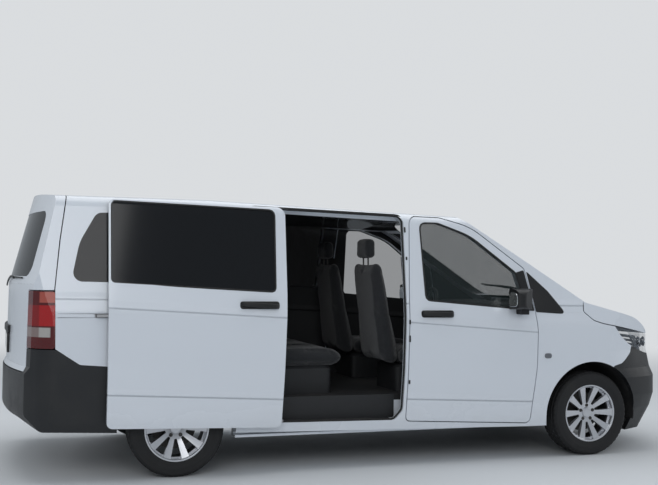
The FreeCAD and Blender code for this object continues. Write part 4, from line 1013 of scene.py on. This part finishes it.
def seams(a, b, cross_lines):
    """How far a point sinks: two seams along b at plus and minus the bolster, some across between."""
    along = np.exp(-((np.abs(a) - BOLSTER) / SEAM_WIDE) ** 2)
    across = np.max([np.exp(-((b - line) / SEAM_WIDE) ** 2) for line in cross_lines], axis=0)
    return SEAM_DEEP * np.maximum(along, across * (np.abs(a) < BOLSTER))


def cover(a, b, c, rise, sink, cross_lines):
    """How far the seen face stands out: sunk in the middle, rising past the bolster seam, less the seams."""
    raised = rise * np.clip((np.abs(a) - BOLSTER) / (1 - BOLSTER), 0, 1) ** 0.7 - sink
    return (c > FACE_FROM) * (raised - seams(a, b, cross_lines)) * np.clip(c, 0, 1)


def cushion_points(unit, x, y, width):
    """Cushion: flat underneath, bolsters raised at the sides, front lip rounded down."""
    a, b, c = unit[:, 1], unit[:, 0], unit[:, 2]
    z = SEAT_TOP - CUSHION / 2 + c * CUSHION / 2 + cover(a, b, c, 0.010, 0.008, (-0.25, 0.35))
    z = z - 0.020 * np.clip(b - 0.55, 0, 1) * (c > FACE_FROM)
    return np.stack([x + SEAT_DEPTH / 2 + b * (SEAT_DEPTH / 2 - 0.004), y + a * (width / 2 - 0.004), z], 1)


def back_points(unit, x, y, width):
    """Backrest: between a raked front line and a steeper rear line, waisted a little towards its top."""
    a, b, c = unit[:, 1], unit[:, 2], unit[:, 0]
    h = (b + 1) / 2
    front = x + 0.015 - (0.015 + RAKE + 0.005) * h
    rear = x - 0.145 - 0.085 * h
    place = rear + (front - rear) * (c + 1) / 2 + cover(a, b, c, 0.012, 0.010, (-0.45, -0.05, 0.35))
    z = SEAT_TOP - 0.115 + (BACK_TOP - SEAT_TOP + 0.113) * h
    return np.stack([place, y + a * (width / 2 - 0.006) * (1 - 0.10 * h ** 3), z], 1)


def head_points(unit, x, y, width):
    """Head restraint: a small pad above the backrest, narrower at its top."""
    a, b, c = unit[:, 1], unit[:, 2], unit[:, 0]
    narrow = 1 - 0.10 * (b + 1) / 2
    return np.stack([x - RAKE - 0.065 + c * 0.044, y + a * 0.123 * narrow, BACK_TOP + 0.115 + b * 0.074], 1)


PADS = (("cushion", CUSHION_PAD, cushion_points), ("back", BACK_PAD, back_points),
        ("head", HEAD_PAD, head_points))
print("seams", SEAM_DEEP * 1000, "mm deep")

# %% [markdown]
# ## Set the seats down
# There are two single seats, a bench for three and a bench for two. Each place could be modelled, but a
# loop over a short table keeps them alike: three pads and two stems on a shared base.

# %% Seats in three rows
FLOOR_TOP, INSET = 0.500, 0.04
STEM_R, STEM_APART, STEM_FOOT, STEM_TOP = 0.006, 0.05, BACK_TOP - 0.03, BACK_TOP + 0.06
SEAT_X = FRONT_X - 1.505
ROWS = [("driver_seat", SEAT_X, 0.48, 0.50, 1), ("passenger_seat", SEAT_X, -0.48, 0.50, 1),
        ("second_row", SEAT_X - 0.950, 0.0, 1.40, 3), ("third_row", SEAT_X - 1.880, 0.0, 1.20, 2)]
for node, x, centre_y, width, places in ROWS:     # node, backrest's foot, middle across, width, places
    low, high = centre_y - width / 2 + INSET, centre_y + width / 2 - INSET
    base = rectangle(x - 0.02, low, x + SEAT_DEPTH - 0.07, high, 0.04)
    tall = SEAT_TOP - CUSHION - FLOOR_TOP - 0.001
    piece(node + "_base", "body_shell", "trim", CABIN,
          slab(base, (0, 0, FLOOR_TOP + 0.0005), (1, 0, 0), (0, 1, 0), tall, edge=0.02), replaces=(node,))
    share = width / places
    for i in range(places):
        y = centre_y + (i - (places - 1) / 2) * share
        tag = "%s_%d" % (node, i)
        for part, (unit, faces), place_points in PADS:
            made = piece("%s_%s" % (tag, part), "body_shell", "cloth", SEAT_CLOTH,
                         (place_points(unit, x, y, share), faces), crease_angle=80)
        stems = [swept([(x - RAKE - 0.062, y + s, STEM_FOOT), (x - RAKE - 0.065, y + s, STEM_TOP)],
                       ring(STEM_R, 12), (1, 0, 0)) for s in (-STEM_APART, STEM_APART)]
        piece(tag + "_stems", "body_shell", "steel", IRON, *stems)
print("seats:", sum(row[4] for row in ROWS))

# %% [markdown]
# ## Belts at the front seats
# A belt is a flat strap from the door pillar down to the floor, and its buckle stands beside the cushion. A
# cloth solver could hang it, but a thin section carried along a gently bent path is enough.

# %% Seat belts
STRAP, BUCKLE = rounded_bar(0.047, 0.0016, 0.0006, 2), rounded_bar(0.022, 0.036, 0.008)
BELT_X, BELT_TOP, BELT_DROP = 0.190, 1.50, 0.92
BUCKLE_WAY = np.array([[0.26, 0.215, 0.70], [0.25, 0.212, 0.79], [0.24, 0.208, 0.87]])
PILLAR_Y = HALF - 0.075
z = BELT_TOP - BELT_DROP * np.linspace(0, 1, 24)
lean = np.interp(z, [0.58, 1.10, 1.50], [PILLAR_Y, PILLAR_Y - 0.012, PILLAR_Y - 0.105])
for side, hand in HANDS:
    path = np.stack([np.full_like(z, BELT_X), side * (lean - 0.006), z], 1)
    piece("belt_" + hand, "body_shell", "cloth", SEAL, swept(path, STRAP, (0, side, 0)))
    piece("buckle_" + hand, "body_shell", "black_plastic", BLACK,
          swept(BUCKLE_WAY * (1, side, 1), BUCKLE, (1, 0, 0)))
print("belt straps", BELT_DROP, "m long")

# %% [markdown]
# ## Camera
# The camera stands at eye height, a little behind the middle of the right side. It could be aimed by eye, but
# three angles and a focal length in pixels keep the view the same each time.

# %% Camera
CAMERA_PLACE = (-2.6989, -7.5459, 1.3970)
YAW, PITCH, ROLL = math.radians(18.813), math.radians(1.593), math.radians(0.755)
FOCAL_PIXELS, FRAME_WIDTH, SENSOR = 992.04, 658, 36.0


def posed(name, data, place, across, rise, back):
    """Camera or lamp at a place, looking against its back direction."""
    made = shown(bpy.data.objects.new(name, data))
    turn = Matrix(np.stack([across, rise, back], 1).tolist()).to_4x4()
    made.matrix_world = Matrix.Translation(place) @ turn
    return made


ahead = np.array([math.sin(YAW) * math.cos(PITCH), math.cos(YAW) * math.cos(PITCH), math.sin(PITCH)])
level_right = np.array([math.cos(YAW), -math.sin(YAW), 0.0])
level_up = np.cross(level_right, ahead)
right_way = math.cos(ROLL) * level_right + math.sin(ROLL) * level_up
up_way = -math.sin(ROLL) * level_right + math.cos(ROLL) * level_up
camera_data = bpy.data.cameras.new("camera")
camera_data.lens = FOCAL_PIXELS * SENSOR / FRAME_WIDTH
camera_data.sensor_width = SENSOR
bpy.context.scene.camera = posed("camera", camera_data, CAMERA_PLACE, right_way, up_way, -ahead)
print("camera lens", round(camera_data.lens, 2), "mm")

# %% [markdown]
# ## Floor and sky
# A pale studio has no edge between floor and wall. A curved backdrop could hide it, but here the floor's
# shader turns into plain pale light with distance, for the camera alone, so the floor near the vehicle
# keeps its shadow.

# %% Floor and sky
PALE, SKY, SKY_STRENGTH = (0.70, 0.72, 0.74), (0.86, 0.93, 1.0), 0.42
FADE_FROM, FADE_TO, FLOOR_HALF = 4.0, 13.0, 60.0

side = np.linspace(-FLOOR_HALF, FLOOR_HALF, 3)
x, y = np.meshgrid(side, side, indexing="ij")
points, squares = grid(np.stack([x, y, np.zeros_like(x)], 2))
floor = new_object("floor", points, squares.tolist())

finish = Finish("pale_floor", PALE, 0.8)
finish.rough(finish.noise(2.0) * 0.1 + 0.75)
x, y, _ = finish.place()
seen = finish.node("ShaderNodeLightPath", output="Is Camera Ray")
far_away = (x * x + y * y).apply("SQRT").ramp(FADE_FROM, FADE_TO) * seen
glow = finish.node("ShaderNodeEmission", inputs={"Color": (*PALE, 1.0)})
blended = finish.node("ShaderNodeMixShader", inputs=[far_away, Wire(finish, finish.shader.outputs[0]), glow])
finish.tree.links.new(blended.socket, finish.tree.nodes["Material Output"].inputs["Surface"])
floor.data.materials.append(finish.material)

world = bpy.data.worlds.new("sky")
bpy.context.scene.world = world
world.use_nodes = True
nodes, links = world.node_tree.nodes, world.node_tree.links
background, paths = nodes["Background"], nodes.new("ShaderNodeLightPath")
bright, either, blend = (nodes.new("ShaderNode" + kind) for kind in ("Background", "Math", "MixShader"))
background.inputs["Color"].default_value = (*SKY, 1.0)
background.inputs["Strength"].default_value = SKY_STRENGTH
bright.inputs["Color"].default_value = (*PALE, 1.0)
either.operation, either.use_clamp = "ADD", True
links.new(paths.outputs["Is Camera Ray"], either.inputs[0])
links.new(paths.outputs["Is Transmission Ray"], either.inputs[1])
for number, source in enumerate((either, background, bright)):
    links.new(source.outputs[0], blend.inputs[number])
links.new(blend.outputs[0], nodes["World Output"].inputs["Surface"])
bpy.context.scene.view_settings.view_transform = "Standard"
print("floor fades between", FADE_FROM, "and", FADE_TO, "m")

# %% [markdown]
# ## Lamps
# One strong lamp would be simpler, but white paint would clip, so a wide soft source hangs overhead with
# weak fills. Each is a rectangle aimed at a point of the vehicle.

# %% Lamps
def softbox(name, place, aim, size, power):
    """Rectangular lamp at a place, aimed at a point."""
    lamp = bpy.data.lights.new(name, "AREA")
    lamp.shape, lamp.energy = "RECTANGLE", power
    lamp.size, lamp.size_y = size
    back = np.array(place, float) - np.array(aim, float)
    back /= np.linalg.norm(back)
    across = np.cross(UP, back)
    across /= np.linalg.norm(across)
    posed(name, lamp, place, across, np.cross(back, across), back)


softbox("top_light", (0.0, 0.5, 6.5), (0, 0, 0), (9.0, 6.0), 225.0)
softbox("side_light", (-3.5, -8.5, 4.5), (0, 0, 0.8), (6.0, 3.0), 145.0)
softbox("rear_light", (-8.5, 3.0, 4.0), (-1.5, 0, 1.0), (4.0, 3.0), 90.0)
softbox("front_light", (8.5, -2.0, 3.5), (1.5, 0, 0.8), (4.0, 3.0), 90.0)
print("four lamps hung")

# %% [markdown]
# ## Pieces added
# The dressed model must stay inside the ready-made model's box.

# %% Count the added pieces
print("pieces added:", len(PIECES))
